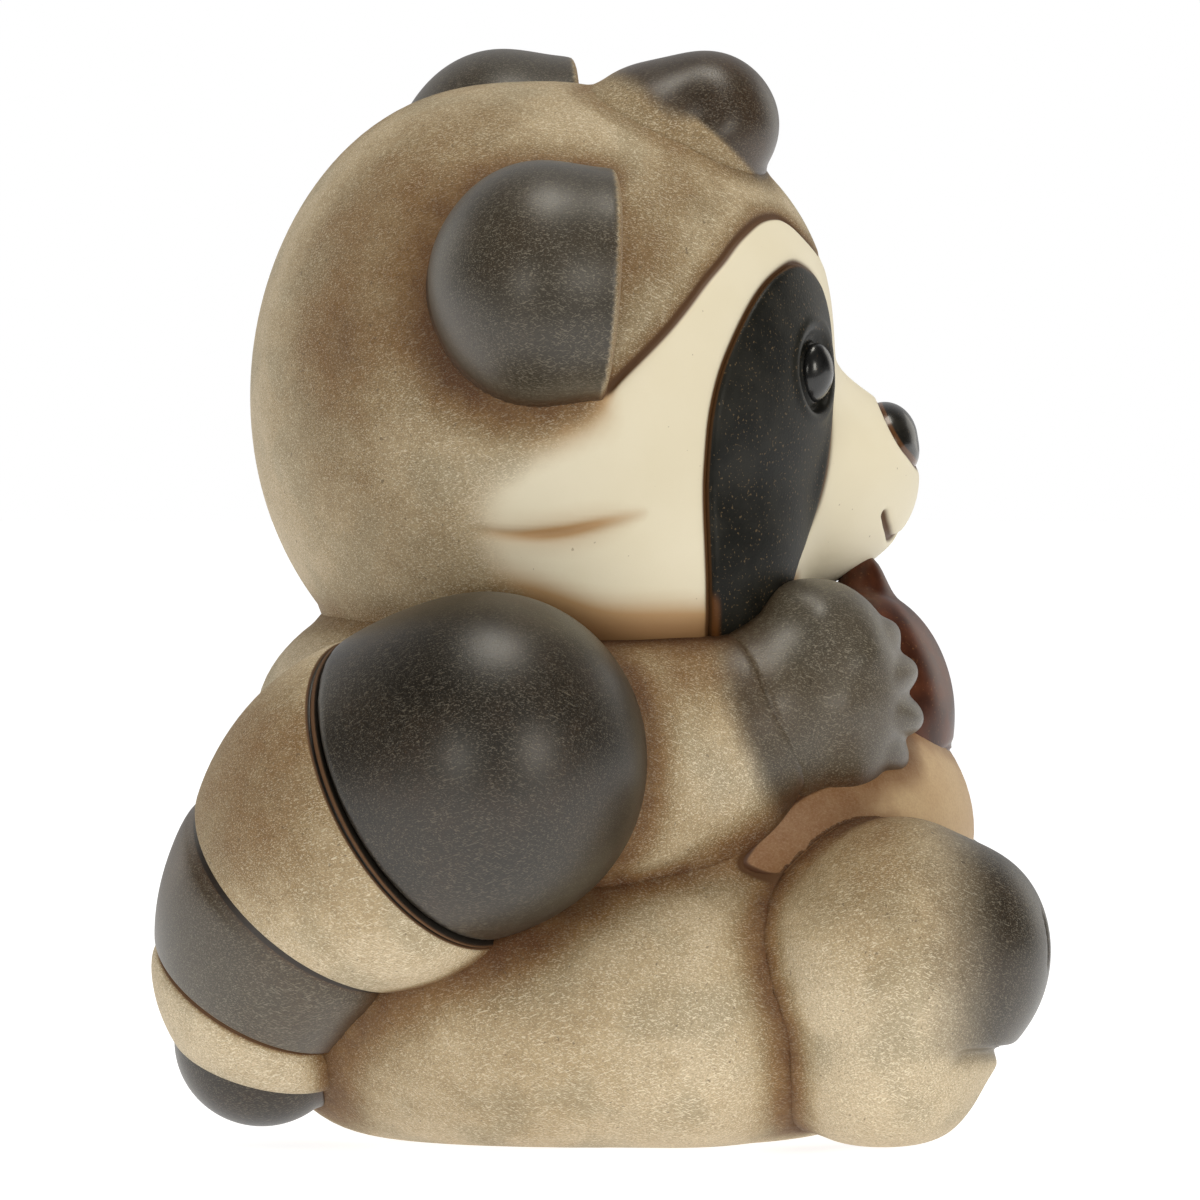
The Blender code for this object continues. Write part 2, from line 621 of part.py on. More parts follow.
def make_body(base_slab):
    """The hollow body with its flat base and the belly panel in its front; returns its seat cutter."""
    form = body_form()
    body = clay("body", form, "fur", fineness="body")
    hollow = clay("body_hollow", form, None, grow=-CLAY_WALL, fineness="hollow", floor=CLAY_WALL)
    vent = rod_cutter("vent_hole", VENT_HOLE_RADIUS, -CLAY_WALL, CLAY_WALL * 2)
    neck_low = NECK_HEIGHT - CLAY_WALL * 3
    neck = rod_cutter("neck_hole", NECK_HOLE_RADIUS, neck_low, NECK_HEIGHT + CLAY_WALL * 2)
    panel = clay("belly_panel", form, "belly", fineness="body")
    panel_floor = clay("belly_panel_floor", form, None, grow=-BELLY_DEPTH, fineness="body")
    boolean(panel, cone_cutter("belly_outline", form.heart, belly_directions(0), CONE_REACH), "INTERSECT")
    cut(panel, panel_floor)
    pocket = cone_cutter("belly_pocket", form.heart, belly_directions(BELLY_MARGIN), CONE_REACH)
    cut(pocket, clay("belly_pocket_floor", form, None, grow=-BELLY_DEPTH - SEAT_GAP, fineness="body"))
    cut(body, pocket, hollow, base_slab, vent, neck)
    return clay("body_seat", form, None, grow=SEAT_GAP, fineness="body")


def make_head(pose, body_seat):
    """The hollow head with its eyes, masks, nose, ears and forelock."""
    form = head_form()
    head = clay("head", form, "fur", pose, fineness="head")
    seat = clay("head_seat", form, None, pose, grow=SEAT_GAP, fineness="head")
    hollow = clay("head_hollow", form, None, pose, grow=-CLAY_WALL, fineness="hollow")
    cut(head, hollow, body_seat)
    mask_skin = clay("mask_skin", form, None, pose, grow=MASK_RAISE, fineness="head")
    mask_floor = clay("mask_floor", form, None, pose, grow=-MASK_DEPTH, fineness="head")
    deep = MASK_DEPTH + SEAT_GAP
    pocket_floor = clay("mask_pocket_floor", form, None, pose, grow=-deep, fineness="head")
    for side, word in ((1, "right"), (-1, "left")):
        leaf = mask_directions(side, 0)
        mask = cone_cutter(f"{word}_eye_mask", form.heart, leaf, CONE_REACH, pose, "mask")
        boolean(mask, mask_skin, "INTERSECT")
        wide_leaf = mask_directions(side, MASK_MARGIN)
        pocket = cone_cutter(f"{word}_mask_pocket", form.heart, wide_leaf, CONE_REACH, pose)
        cut(pocket, pocket_floor)
        cut(mask, mask_floor)
        front = form.surface(Vector((-side * EYE_SPREAD / 2, 0, EYE_RISE)), Vector((0, -1, 0)))
        outward = (front - form.heart).normalized()
        eye_form = lone_form(front + outward * (MASK_RAISE - EYE_SINK), EYE_WIDTH, EYE_DEPTH, EYE_HEIGHT)
        clay(f"{word}_eye", eye_form, "eye", pose, fineness="bead")
        socket = clay(f"{word}_eye_socket", eye_form, None, pose, grow=SEAT_GAP, fineness="bead")
        cut(mask, socket)
        cut(head, pocket, socket)
        make_ear(word, side, pose, seat)
    make_nose(form, head, pose)
    make_forelock(form, pose, seat)
    return seat


def make_ear(word, side, pose, head_seat):
    """A cupped ear: a round back that narrows to a dished face, which looks forwards."""
    middle = Vector((-side * (HEAD_WIDTH / 2 - EAR_OVERLAP), -EAR_FACE_FORWARD, EAR_RISE))
    lean = math.radians(EAR_LEAN)
    back = swelling(middle + Vector((0, EAR_SETBACK, 0)), EAR_WIDTH, EAR_DEPTH, EAR_HEIGHT, -lean)
    cup_middle = middle + Vector((0, EAR_MOUTH_SETBACK, 0))
    cup = swelling(cup_middle, EAR_MOUTH, EAR_MOUTH_DEPTH, EAR_MOUTH, -lean)
    ear = clay(f"{word}_ear", Form(cup_middle, (back, cup), EAR_BLEND), "dark_fur", pose)
    far = EAR_MOUTH_DEPTH
    face = box_cutter(f"{word}_ear_face", (-far, -far, -far), (far, 0, far), pose)
    face.location = middle
    face.rotation_euler = (lean, 0, 0)
    across = EAR_MOUTH - EAR_RIM * 2
    hollow = swelling(middle, across, EAR_DISH * 2, across, -lean)
    dish = clay(f"{word}_ear_dish", Form(middle, (hollow,)), None, pose, fineness="small")
    cut(ear, face, dish, head_seat)


def make_nose(form, head, pose):
    level = Vector((0, -NOSE_WALK, NOSE_RISE - MUZZLE_DROP))
    middle = form.surface(level, Vector((0, -1, 0))) + Vector((0, NOSE_SINK, 0))
    nose_form = lone_form(middle, NOSE_WIDTH, NOSE_LENGTH, NOSE_HEIGHT)
    clay("nose", nose_form, "nose", pose, fineness="small")
    cut(head, clay("nose_seat", nose_form, None, pose, grow=SEAT_GAP, fineness="small"))


def make_forelock(form, pose, head_seat):
    """The curl of hair over the forehead: a swell from the crown that hooks down at the front."""
    crown = form.surface(Vector((0, -LOCK_FORWARD, 0)), Vector((0, 0, 1)))
    middle = crown - Vector((0, 0, LOCK_SINK))
    roll = swelling(middle, LOCK_WIDTH, LOCK_LENGTH, LOCK_THICKNESS)
    hook_middle = middle - Vector((0, LOCK_HOOK, LOCK_HOOK_DROP))
    hook = swelling(hook_middle, LOCK_HOOK_WIDTH, LOCK_HOOK_DEPTH, LOCK_HOOK_HEIGHT)
    lock = clay("forelock", Form(middle, (roll, hook)), "dark_fur", pose, fineness="limb")
    cut(lock, head_seat)


def make_limbs(side, word, body_seat, head_seat, tail_seats, base_slab):
    """Arm, paw, leg and foot of one side; side is 1 for the right."""
    arm, paw, leg, foot = arm_form(), paw_form(), leg_form(), foot_form()
    if side < 0:
        arm, paw, leg, foot = (form.mirrored() for form in (arm, paw, leg, foot))
    paw_seat = clay(f"{word}_paw_seat", paw, None, grow=SEAT_GAP, fineness="paw")
    leg_seat = clay(f"{word}_leg_seat", leg, None, grow=SEAT_GAP)
    arm_piece = clay(f"{word}_arm", arm, "fur")
    cut(arm_piece, body_seat, paw_seat, leg_seat, head_seat)
    if side > 0:
        cut(arm_piece, *tail_seats)
    paw_piece = clay(f"{word}_paw", paw, "dark_fur", fineness="paw")
    cut(paw_piece, body_seat, bpy.data.objects["chestnut_seat"], head_seat)
    cut(bpy.data.objects[f"{word}_eye_mask"], paw_seat)
    leg_piece = clay(f"{word}_leg", leg, "fur")
    foot_seat = clay(f"{word}_foot_seat", foot, None, grow=SEAT_GAP)
    cut(leg_piece, body_seat, paw_seat, foot_seat, base_slab)
    cut(clay(f"{word}_foot", foot, "dark_fur"), body_seat, paw_seat)


def centre_on_origin():
    """Moves the stand that carries everything, to bring the middle of the figurine over the origin."""
    bpy.context.view_layer.update()
    graph = bpy.context.evaluated_depsgraph_get()
    points = []
    for piece in PIECES.objects:
        if piece.type == "MESH":
            points += [piece.matrix_world @ vert.co for vert in piece.evaluated_get(graph).data.vertices]
    for axis in (0, 1):
        places = [point[axis] for point in points]
        STAND.location[axis] = -(min(places) + max(places)) / 2


def main():
    for collection in (PIECES, CUTTERS):
        bpy.context.scene.collection.children.link(collection)
    PIECES.objects.link(STAND)
    far = CONE_REACH * 2
    base_slab = box_cutter("base_slab", (-far, -far, -far), (far, far, 0))
    body_seat = make_body(base_slab)
    head_seat = make_head(head_pose(), body_seat)
    nut = chestnut_form()
    clay("chestnut_seat", nut, None, grow=SEAT_GAP)
    cut(clay("chestnut", nut, "chestnut"), body_seat, head_seat)
    tail_seats = make_tail(body_seat, head_seat)
    for side, word in ((1, "right"), (-1, "left")):
        make_limbs(side, word, body_seat, head_seat, tail_seats, base_slab)
    centre_on_origin()


clear_scene()
PIECES = bpy.data.collections.new("raccoon_figurine")
CUTTERS = bpy.data.collections.new("cutters")
STAND = bpy.data.objects.new("stand", None)
main()
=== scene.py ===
# %% [markdown]
# # A ceramic raccoon, modelled and glazed in code
# The real figurine is cast and hand-joined clay: soft swellings that run into each other, incised
# lines, a striped tail, glossy eyes and a nut held under the chin. Airbrushed stains give the fur.
# Each cell below makes one piece or one finish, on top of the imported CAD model, the fixed frame.

import math

import bmesh
import bpy
import numpy as np
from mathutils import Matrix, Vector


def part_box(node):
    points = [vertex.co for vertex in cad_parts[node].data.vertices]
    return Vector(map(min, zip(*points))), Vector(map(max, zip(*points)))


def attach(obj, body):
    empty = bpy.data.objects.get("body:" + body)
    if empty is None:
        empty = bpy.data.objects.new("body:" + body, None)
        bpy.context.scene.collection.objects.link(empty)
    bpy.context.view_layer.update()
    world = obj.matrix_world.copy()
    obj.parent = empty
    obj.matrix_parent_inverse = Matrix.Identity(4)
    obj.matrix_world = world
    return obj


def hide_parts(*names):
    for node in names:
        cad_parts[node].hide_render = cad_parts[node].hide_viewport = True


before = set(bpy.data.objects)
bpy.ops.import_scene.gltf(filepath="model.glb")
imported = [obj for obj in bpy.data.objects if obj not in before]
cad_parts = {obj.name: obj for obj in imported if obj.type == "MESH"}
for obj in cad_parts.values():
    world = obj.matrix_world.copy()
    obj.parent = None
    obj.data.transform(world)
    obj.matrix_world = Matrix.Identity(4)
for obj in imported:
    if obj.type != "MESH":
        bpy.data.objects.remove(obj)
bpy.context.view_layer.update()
MM = 0.001
FIRED = 0.998  # the dressed pieces are a hair smaller than the CAD box, so lips and fillets stay inside it
BODY_BACK = 38.8  # the rearmost point of the body below, which meets that of the CAD body
low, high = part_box("body")
SHIFT = np.array([(low.x + high.x) / 2 / MM, high.y / MM - BODY_BACK, 0.0])
print("frame nodes:", len(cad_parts), "shift in mm:", SHIFT.round(3))

# %% [markdown]
# ## Directions and angles
# Clay forms like these are star-shaped: from a heart point inside, every part of the skin can be seen.
# So a form can be written as one distance for each direction, and features such as the eye patches are
# placed by two angles, round from the front and up. Plain numpy arrays handle all points at once.

# %% Angle helpers
def unit(vectors):
    return vectors / np.linalg.norm(vectors, axis=-1, keepdims=True)


def facing(around, up):
    """Unit directions at so many degrees round from the front towards -X, and so many degrees up."""
    around, up = np.radians(around), np.radians(up)
    parts = (-np.sin(around) * np.cos(up), -np.cos(around) * np.cos(up), np.sin(up))
    return np.stack(parts, axis=-1)


def angles(ways):
    around = np.degrees(np.arctan2(-ways[:, 0], -ways[:, 1]))
    return np.stack((around, np.degrees(np.arcsin(np.clip(ways[:, 2], -1, 1)))), axis=-1)


def turn_matrix(axis, degrees):
    c, s = math.cos(math.radians(degrees)), math.sin(math.radians(degrees))
    rows = {"X": ((1, 0, 0), (0, c, -s), (0, s, c)), "Y": ((c, 0, s), (0, 1, 0), (-s, 0, c))}
    rows["Z"] = ((c, -s, 0), (s, c, 0), (0, 0, 1))
    return np.array(rows[axis])


def soft_step(values, start, end):
    """0 before start, 1 after end, and a smooth climb between them."""
    share = np.clip((values - start) / (end - start), 0, 1)
    return share * share * (3 - 2 * share)


def bell(values, width):
    """1 at 0, falling away smoothly on both sides within about the width."""
    return np.exp(-(values / width) ** 2)


print("facing(90, 0) looks along", facing(90.0, 0.0).round(2))

# %% [markdown]
# ## Soft clay forms
# A potter builds a body from a few rounded lumps and smooths the joins. Metaballs or a sculpted
# multiresolution mesh could do that too, but they are hard to size. Here each lump is an ellipsoid
# with real sizes, and a smooth maximum melts the lumps together, exactly as in the CAD source.

# %% The Form class
def smooth_max(first, second, blend):
    overlap = np.maximum(blend - np.abs(first - second), 0) / blend
    return np.maximum(first, second) + overlap * overlap * blend / 4


def swelling(middle, width, depth, height, lift=0.0):
    """One ellipsoid by its full sizes, its front lifted by an angle in degrees."""
    return np.array(middle, float), np.array((width, depth, height)) / 2, lift


class Form:
    """Swellings that run into one another round a heart point, in the figurine's frame or a pose of it."""

    def __init__(self, heart, swellings, blend=4.0, pose=None):
        self.heart = np.array(heart, float)
        self.swellings = swellings
        self.blend = blend
        self.pose = pose

    def own(self, points):
        """Points of the figurine, in this form's own frame."""
        return points if self.pose is None else (points - self.pose[1]) @ self.pose[0]

    def placed(self, points):
        return points if self.pose is None else points @ self.pose[0].T + self.pose[1]

    def reach(self, ways):
        found = None
        for middle, radii, lift in self.swellings:
            level = turn_matrix("X", lift)
            way, away = ways @ level.T / radii, (middle - self.heart) @ level.T / radii
            a, b, c = (way * way).sum(1), way @ away, away @ away - 1
            out = (b + np.sqrt(np.maximum(b * b - a * c, 0))) / a
            found = out if found is None else smooth_max(found, out, self.blend)
        return found

    def bare(self, ways):
        """The form's own skin in those directions, measured from its heart."""
        return ways * self.reach(ways)[:, None]

    def at(self, ways, reach):
        """Points of the figurine that far from the heart."""
        return self.placed(self.heart + ways * reach[:, None])

    def depth(self, points):
        """How far points stand outside the skin, along the ray from the heart: below 0 is inside."""
        out = self.own(points) - self.heart
        far = np.maximum(np.linalg.norm(out, axis=1), 1e-6)
        return far - self.reach(out / far[:, None])

    def mirrored(self):
        flip = np.array((-1, 1, 1))
        lumps = [(middle * flip, radii, lift) for middle, radii, lift in self.swellings]
        return Form(self.heart * flip, lumps, self.blend, self.pose)


# %% [markdown]
# ## The forms of the raccoon
# These sizes, in millimetres, are those of the part's source, or within a few millimetres of them where
# the photograph asked for it, so each piece lands in the space of its CAD node. The head sits in its
# own frame, tilted 14 degrees and turned 3 degrees.

# %% Body, head and limb forms
HEAD_TURN, HEAD_TILT = 3.0, 14.0
HEAD_POSE = (turn_matrix("Z", HEAD_TURN) @ turn_matrix("Y", -HEAD_TILT), np.array((0, 6.3, 79.7)))

body = Form((0, 0, 33), (
    swelling((0, -9.7, 33.3), 56, 61, 42),
    swelling((0, 7.4, 45.3), 52, 60, 34),
    swelling((0, 1, 16), 76, 76, 43),
    swelling((-21, -8.5, 13), 33.5, 29, 27),
    swelling((21, -8.5, 13), 33.5, 29, 27),
))
head = Form((0, -6, -7), (
    swelling((0, 0, 0), 66, 63.4, 69.2),
    swelling((0, 7.9, 5.2), 54, 42.2, 55),
    swelling((0, -8.3, 11), 48, 43, 38),
    swelling((0, -21.9, -8.6), 30, 38, 26),
    swelling((-13, -6, -13), 40, 42, 34),
    swelling((13, -6, -13), 40, 42, 34),
), pose=HEAD_POSE)
arm = Form((-25, -2, 41.4), (
    swelling((-27, 3, 41), 24, 30, 26.5),
    swelling((-23, -7, 41.8), 21, 27, 26),
))
leg = Form((-25, -28.3, 17.5), (
    swelling((-25, -29.0, 17.6), 30.6, 25.2, 33.8),
    swelling((-24.5, -23.6, 19.6), 28.5, 15.4, 17.4),
    swelling((-25, -29.0, 10), 26, 20.6, 20),
))
foot = Form((-25.5, -35, 22.0), (
    swelling((-25.5, -39.3, 21.2), 22, 15.2, 20.9),
    swelling((-25.5, -32.4, 22.2), 26, 20.2, 24.2),
))
nut = Form((0, -27.4, 45.3), (
    swelling((0, -27.4, 45.3), 26, 21.6, 28.6),
    swelling((0, -28.3, 53.95), 7, 7, 18.3),
), blend=2.0)

# Each finger's length, and by how many degrees it points up.
FINGERS = ((11.1, 42), (10.8, 16), (11.3, -13), (11.7, -38))
FINGER_WIDTH, FINGER_HEIGHT = 13.0, 6.2


def paw_form():
    palm = np.array((-17, -22.4, 48.0))
    lumps = [swelling(palm, 20.6, 18.8, 25.4), swelling((-18.3, -18.7, 47.0), 21, 15.4, 22)]
    lumps.append(swelling(palm + (-1.4, 2.1, 8.4), 10, 8.4, 7.8))
    for length, degrees in FINGERS:
        lift = math.radians(degrees)
        along = np.array((0.25, -math.cos(lift), math.sin(lift))) * length / 2
        lumps.append(swelling(palm + along, FINGER_WIDTH, length + 1, FINGER_HEIGHT, degrees))
    return Form(palm, lumps, blend=1.2)


lock = Form((0, -13.4, 30.6), (
    swelling((0, -13.4, 30.9), 17, 20.2, 13.5),
    swelling((0, -17.6, 30.4), 15, 13, 15.2),
), pose=HEAD_POSE)
paw = paw_form()
print("the head's crown is", head.reach(np.array([[0.0, 0.0, 1.0]])).round(1), "mm above its heart")

# %% [markdown]
# ## A skin that is fine only where it has to be
# An icosphere of about 20,000 faces is smooth enough for a soft form, but an incised line 0.8 mm wide
# needs edges of 0.2 mm. Subdividing everything would waste millions of faces, so long edges are
# split only near such lines. Splitting by edges keeps the mesh closed.

# %% Skin helpers
TOO_LONG = 1.4  # an edge is split when it is that many times as long as wanted


def sphere_skin(level=6):
    """Directions and faces of an icosphere."""
    bm = bmesh.new()
    bmesh.ops.create_icosphere(bm, subdivisions=level, radius=1)
    ways = np.array([v.co for v in bm.verts])
    faces = np.array([[v.index for v in f.verts] for f in bm.faces])
    bm.free()
    return unit(ways), faces


def shared_edges(faces):
    """Each edge once, and which three edges every face has."""
    pairs = np.sort(np.concatenate((faces[:, (0, 1)], faces[:, (1, 2)], faces[:, (2, 0)])), axis=1)
    edges, of_face = np.unique(pairs, axis=0, return_inverse=True)
    return edges, of_face.reshape(3, len(faces)).T


def refine(form, ways, faces, wanted, rounds=4):
    """Splits edges of a form's skin that are longer than wanted(points on the skin) says."""
    for _ in range(rounds):
        edges, of_face = shared_edges(faces)
        skin = form.bare(ways)
        ends = skin[edges[:, 0]], skin[edges[:, 1]]
        long = np.linalg.norm(ends[0] - ends[1], axis=1) > wanted((ends[0] + ends[1]) / 2) * TOO_LONG
        if not long.any():
            break
        number = np.full(len(edges), -1)
        number[long] = len(ways) + np.arange(long.sum())
        ways = np.concatenate((ways, unit(ways[edges[long, 0]] + ways[edges[long, 1]])))
        faces = split_faces(faces, number[of_face])
    return ways, faces


def split_faces(faces, mids):
    """New faces for old ones whose edges got middle points; -1 marks an edge left whole."""
    made = [faces[(mids < 0).all(1)]]
    for roll in range(3):
        (a, b, c), (m, n, o) = np.roll(faces, -roll, 1).T, np.roll(mids, -roll, 1).T
        one = (m >= 0) & (n < 0) & (o < 0)
        two = (m >= 0) & (n >= 0) & (o < 0)
        made += [np.stack(t, 1)[one] for t in ((a, m, c), (m, b, c))]
        made += [np.stack(t, 1)[two] for t in ((m, b, n), (a, m, n), (a, n, c))]
    (a, b, c), (m, n, o) = faces.T, mids.T
    three = (mids >= 0).all(1)
    made += [np.stack(t, 1)[three] for t in ((a, m, o), (m, b, n), (o, n, c), (m, n, o))]
    return np.concatenate(made)


SPHERE = sphere_skin()


def even_skin(form, size, rounds):
    """The sphere, split until the edges of the form's skin are about as long as size."""
    return refine(form, *SPHERE, lambda skin: np.full(len(skin), size), rounds)


print("plain skin:", len(SPHERE[1]), "faces")

# %% [markdown]
# ## Lines drawn on a form
# Incised lines and patch outlines are curves through a few angle pairs. Catmull-Rom curves pass
# through every point given, so they are easy to fit. The distance from skin to line, in
# millimetres, then drives the groove's depth, the glaze colour in it, and the mesh fineness.

# %% Line helpers
NEARBY = 9.0  # beyond that many millimetres the distance to a line isn't measured


def between(p0, p1, p2, p3, t):
    """The Catmull-Rom point at share t of the way from p1 to p2."""
    bend = (p2 - p0) * t + (2 * p0 - 5 * p1 + 4 * p2 - p3) * t**2
    return (2 * p1 + bend + (3 * p1 - p0 - 3 * p2 + p3) * t**3) / 2


def curve(points, steps=6, closed=False):
    points = np.array(points, float)
    ends = (points[-1:], points[:2]) if closed else (points[:1], points[-1:])
    padded = np.concatenate((ends[0], points, ends[1]))
    line = []
    for p0, p1, p2, p3 in zip(padded, padded[1:], padded[2:], padded[3:]):
        for t in np.arange(steps) / steps:
            line.append(between(p0, p1, p2, p3, t))
    return np.array(line + [line[0] if closed else points[-1]])


def drawn_on(form, line):
    """A line of angle pairs as points on a form's skin, measured from its heart."""
    return form.bare(facing(line[:, 0], line[:, 1]))


def from_line(points, line, limit=NEARBY):
    """Distance to a line of points, up to the limit, and how far along the line as a share."""
    best, share = np.full(len(points), limit), np.zeros(len(points))
    near = ((points > line.min(0) - limit) & (points < line.max(0) + limit)).all(1)
    some, gap, where = points[near], best[near], share[near]
    for i, (start, step) in enumerate(zip(line, np.diff(line, axis=0))):
        t = np.clip((some - start) @ step / max(step @ step, 1e-9), 0, 1)
        far = np.linalg.norm(some - start - t[:, None] * step, axis=1)
        where = np.where(far < gap, (i + t) / (len(line) - 1), where)
        gap = np.minimum(far, gap)
    best[near], share[near] = gap, where
    return best, share


def inside(pairs, outline):
    """Which angle pairs lie inside a closed outline."""
    odd = np.zeros(len(pairs), bool)
    for (x0, y0), (x1, y1) in zip(outline, np.roll(outline, -1, 0)):
        if y0 != y1:
            spans = (y0 > pairs[:, 1]) != (y1 > pairs[:, 1])
            odd ^= spans & (pairs[:, 0] < (x1 - x0) * (pairs[:, 1] - y0) / (y1 - y0) + x0)
    return odd


def folded(skin):
    """Points of the skin, those of the left side mirrored to the right."""
    return np.stack((-np.abs(skin[:, 0]), skin[:, 1], skin[:, 2]), 1)


def into_outline(form, ways, outline, limit=NEARBY):
    """Millimetres inside a closed outline, below 0 outside it, and how far along it; both sides match."""
    far, along = from_line(folded(form.bare(ways)), drawn_on(form, outline), limit)
    pairs = angles(ways)
    pairs[:, 0] = np.abs(pairs[:, 0])
    return np.where(inside(pairs, outline), far, -far), along


MASK = curve((
    (20.0, 40.5), (22.8, 43.6), (26.4, 45.6), (33, 47.4), (41.8, 46.7), (49.9, 44.7), (57.0, 41.2),
    (63.3, 36.1), (68.2, 30.2), (71.2, 23.4), (72.4, 16.0), (72.8, 6.2), (73.0, -1.5), (73.0, -7.9),
    (72.6, -14.8), (71.0, -22), (64, -28), (53, -25), (46.2, -13.2), (41.0, -9.5), (36.7, -6.1),
    (33.9, -2.0), (31.7, 3.4), (28.7, 9.7), (25.0, 15.8), (21.4, 21.7), (19.4, 27.5), (18.6, 34.5),
), steps=4, closed=True)
BELLY = curve((
    (-20, 40), (0, 42), (16, 40), (27, 33), (33, 20), (38, 13.5), (45.5, 10.6), (51.8, 8.4), (57.4, 4.2),
    (63.1, -3.5), (59.9, -6.4), (54.8, -7.0), (51.6, -4.8), (48.2, -1.1), (43, 1.9), (37, 1.6),
    (30, -6), (23, -20), (14, -34), (0, -40), (-20, -38),
), closed=True)
print("mask outline:", len(MASK), "points; belly outline:", len(BELLY))

# %% [markdown]
# ## Luting one piece to the next
# On the real figurine a wet joint is smoothed with a finger, so two pieces meet in a small fillet.
# A Boolean union would leave a hard crease, and a remesh would fuse the pieces. Instead each
# piece climbs towards its neighbour exactly as a smooth union would, and past the seam it dives under.

# %% Seams between pieces
DIVE, DIVE_SLOPE = 0.7, 0.3  # how deep a skin goes under its neighbour, and how steeply
SEAM_ROUNDS, GROUND_ROUNDS = 15, 24  # how often the bracket round a crossing is halved
NOWHERE = 99.0  # a distance beyond everything
NEAR_SEAM = 2.0  # a skin is lifted only within its blend and that much more
GROUND_EDGE = 2.5  # how far the foot of the figurine is rounded over
SPRAY_EDGE = 2.6  # above 2 a sprayed edge is crisper than a bell
GROOVE_DEPTH, BED_DEPTH, BED_EDGE = 0.45, 0.9, 0.5  # of the outline and bed of a patch

# How softly two pieces run together, in millimetres, by the joint between them.
SEAM = {
    "arm": 3.0, "leg": 4.5, "wrist": 5.5, "ankle": 5.0, "ear": 1.4, "lock": 1.6, "neck": 1.5,
    "tail": 1.6, "root": 1.2, "knee": 1.5,
}


def seam_lift(margin, blend):
    """How far the skin leaves its own form: margin is the neighbour's distance minus its own."""
    climb = np.maximum(1 - margin / blend, 0) ** 2 * blend / 4
    return np.where(margin >= 0, climb, np.maximum(blend / 4 + DIVE_SLOPE * margin, -DIVE))


def luted_reach(form, ways, neighbours, floor=None):
    """Reach of a form whose skin runs softly into its neighbours, given as (depth function, blend)."""
    reach = form.reach(ways)
    if neighbours:
        start = form.at(ways, reach)
        near = np.logical_or.reduce([depth(start) < blend + NEAR_SEAM for depth, blend in neighbours])
        reach[near] += solve_lift(form, ways[near], reach[near], neighbours)
    return reach if floor is None else stood_on(form, ways, reach, floor)


def solve_lift(form, ways, reach, neighbours):
    """The lift at which each skin point meets the smooth union with its neighbours."""
    small = np.full(len(ways), -DIVE)
    large = np.full(len(ways), max(blend for _, blend in neighbours) / 4 + 0.01)
    for _ in range(SEAM_ROUNDS):
        lift = (small + large) / 2
        points = form.at(ways, reach + lift)
        rise, dive = np.full(len(ways), -DIVE), np.full(len(ways), NOWHERE)
        for depth, blend in neighbours:
            margin = depth(points) - lift
            wanted = seam_lift(margin, blend)
            rise = np.maximum(rise, wanted)
            dive = np.where(margin < 0, np.minimum(dive, wanted), dive)
        over = lift > np.where(dive < NOWHERE, dive, np.maximum(rise, 0))
        large, small = np.where(over, lift, large), np.where(over, small, lift)
    return (small + large) / 2


def stood_on(form, ways, reach, edge):
    """Cuts a form flat at the ground, with its foot rounded over by edge millimetres."""
    small, large = np.zeros(len(ways)), reach + 1
    for _ in range(GROUND_ROUNDS):
        middle = (small + large) / 2
        height = form.heart[2] + ways[:, 2] * middle
        over = smooth_max(middle - reach, -height, edge) > 0
        large, small = np.where(over, middle, large), np.where(over, small, middle)
    return (small + large) / 2


def airbrush(points, sprays):
    """Stain sprayed along contacts: sprays are (depth function, width in mm, strength)."""
    left = np.ones(len(points))
    for depth, width, strength in sprays:
        left *= 1 - strength * np.exp(-(np.maximum(depth(points), 0) / width) ** SPRAY_EDGE)
    return 1 - left


def puffs(points, sprays, base=0.0):
    """Broad passes of the airbrush: (place, reach in mm, strength). A (y, z) place is a side view."""
    left = np.full(len(points), 1.0 - base)
    for place, reach, strength in sprays:
        far = np.linalg.norm(points[:, -len(place):] - np.array(place), axis=1)
        left *= 1 - strength * bell(far, reach)
    return 1 - left


def bed(outline, level):
    """How deep the skin is pressed in for a patch: a groove round it, and a bed where level is above 0."""
    return np.maximum(outline * GROOVE_DEPTH, soft_step(level, 0, BED_EDGE) * BED_DEPTH)


def layered(*stains):
    """Stains sprayed one over another."""
    left = 1.0
    for stain in stains:
        left = left * (1 - stain)
    return 1 - left


# %% [markdown]
# ## From arrays to Blender pieces
# from_pydata would be slow for so many faces, so the arrays go in through foreach_set. The glaze
# values of every vertex are stored as named attributes, which the materials read.

# %% Piece maker
def add_piece(name, points, faces, material, kind, **glaze):
    """A closed mesh in the row frame, riding on the root body and standing for the CAD node of its name."""
    mesh = bpy.data.meshes.new(f"{name}_clay")
    mesh.vertices.add(len(points))
    mesh.vertices.foreach_set("co", ((points + SHIFT) * MM * FIRED).ravel().astype(np.float32))
    size = faces.shape[1]
    mesh.loops.add(faces.size)
    mesh.loops.foreach_set("vertex_index", faces.ravel().astype(np.int32))
    mesh.polygons.add(len(faces))
    mesh.polygons.foreach_set("loop_start", np.arange(0, faces.size, size, dtype=np.int32))
    for key, values in glaze.items():
        layer = mesh.attributes.new(key, "FLOAT", "POINT")
        layer.data.foreach_set("value", np.clip(values, 0, 1).astype(np.float32))
    mesh.update(calc_edges=True)
    mesh.validate()
    mesh.shade_smooth()
    mesh.materials.append(material)
    piece = bpy.data.objects.new(f"{name}_clay", mesh)
    bpy.context.scene.collection.objects.link(piece)
    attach(piece, "root")
    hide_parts(name)
    print(name, len(faces), "faces")


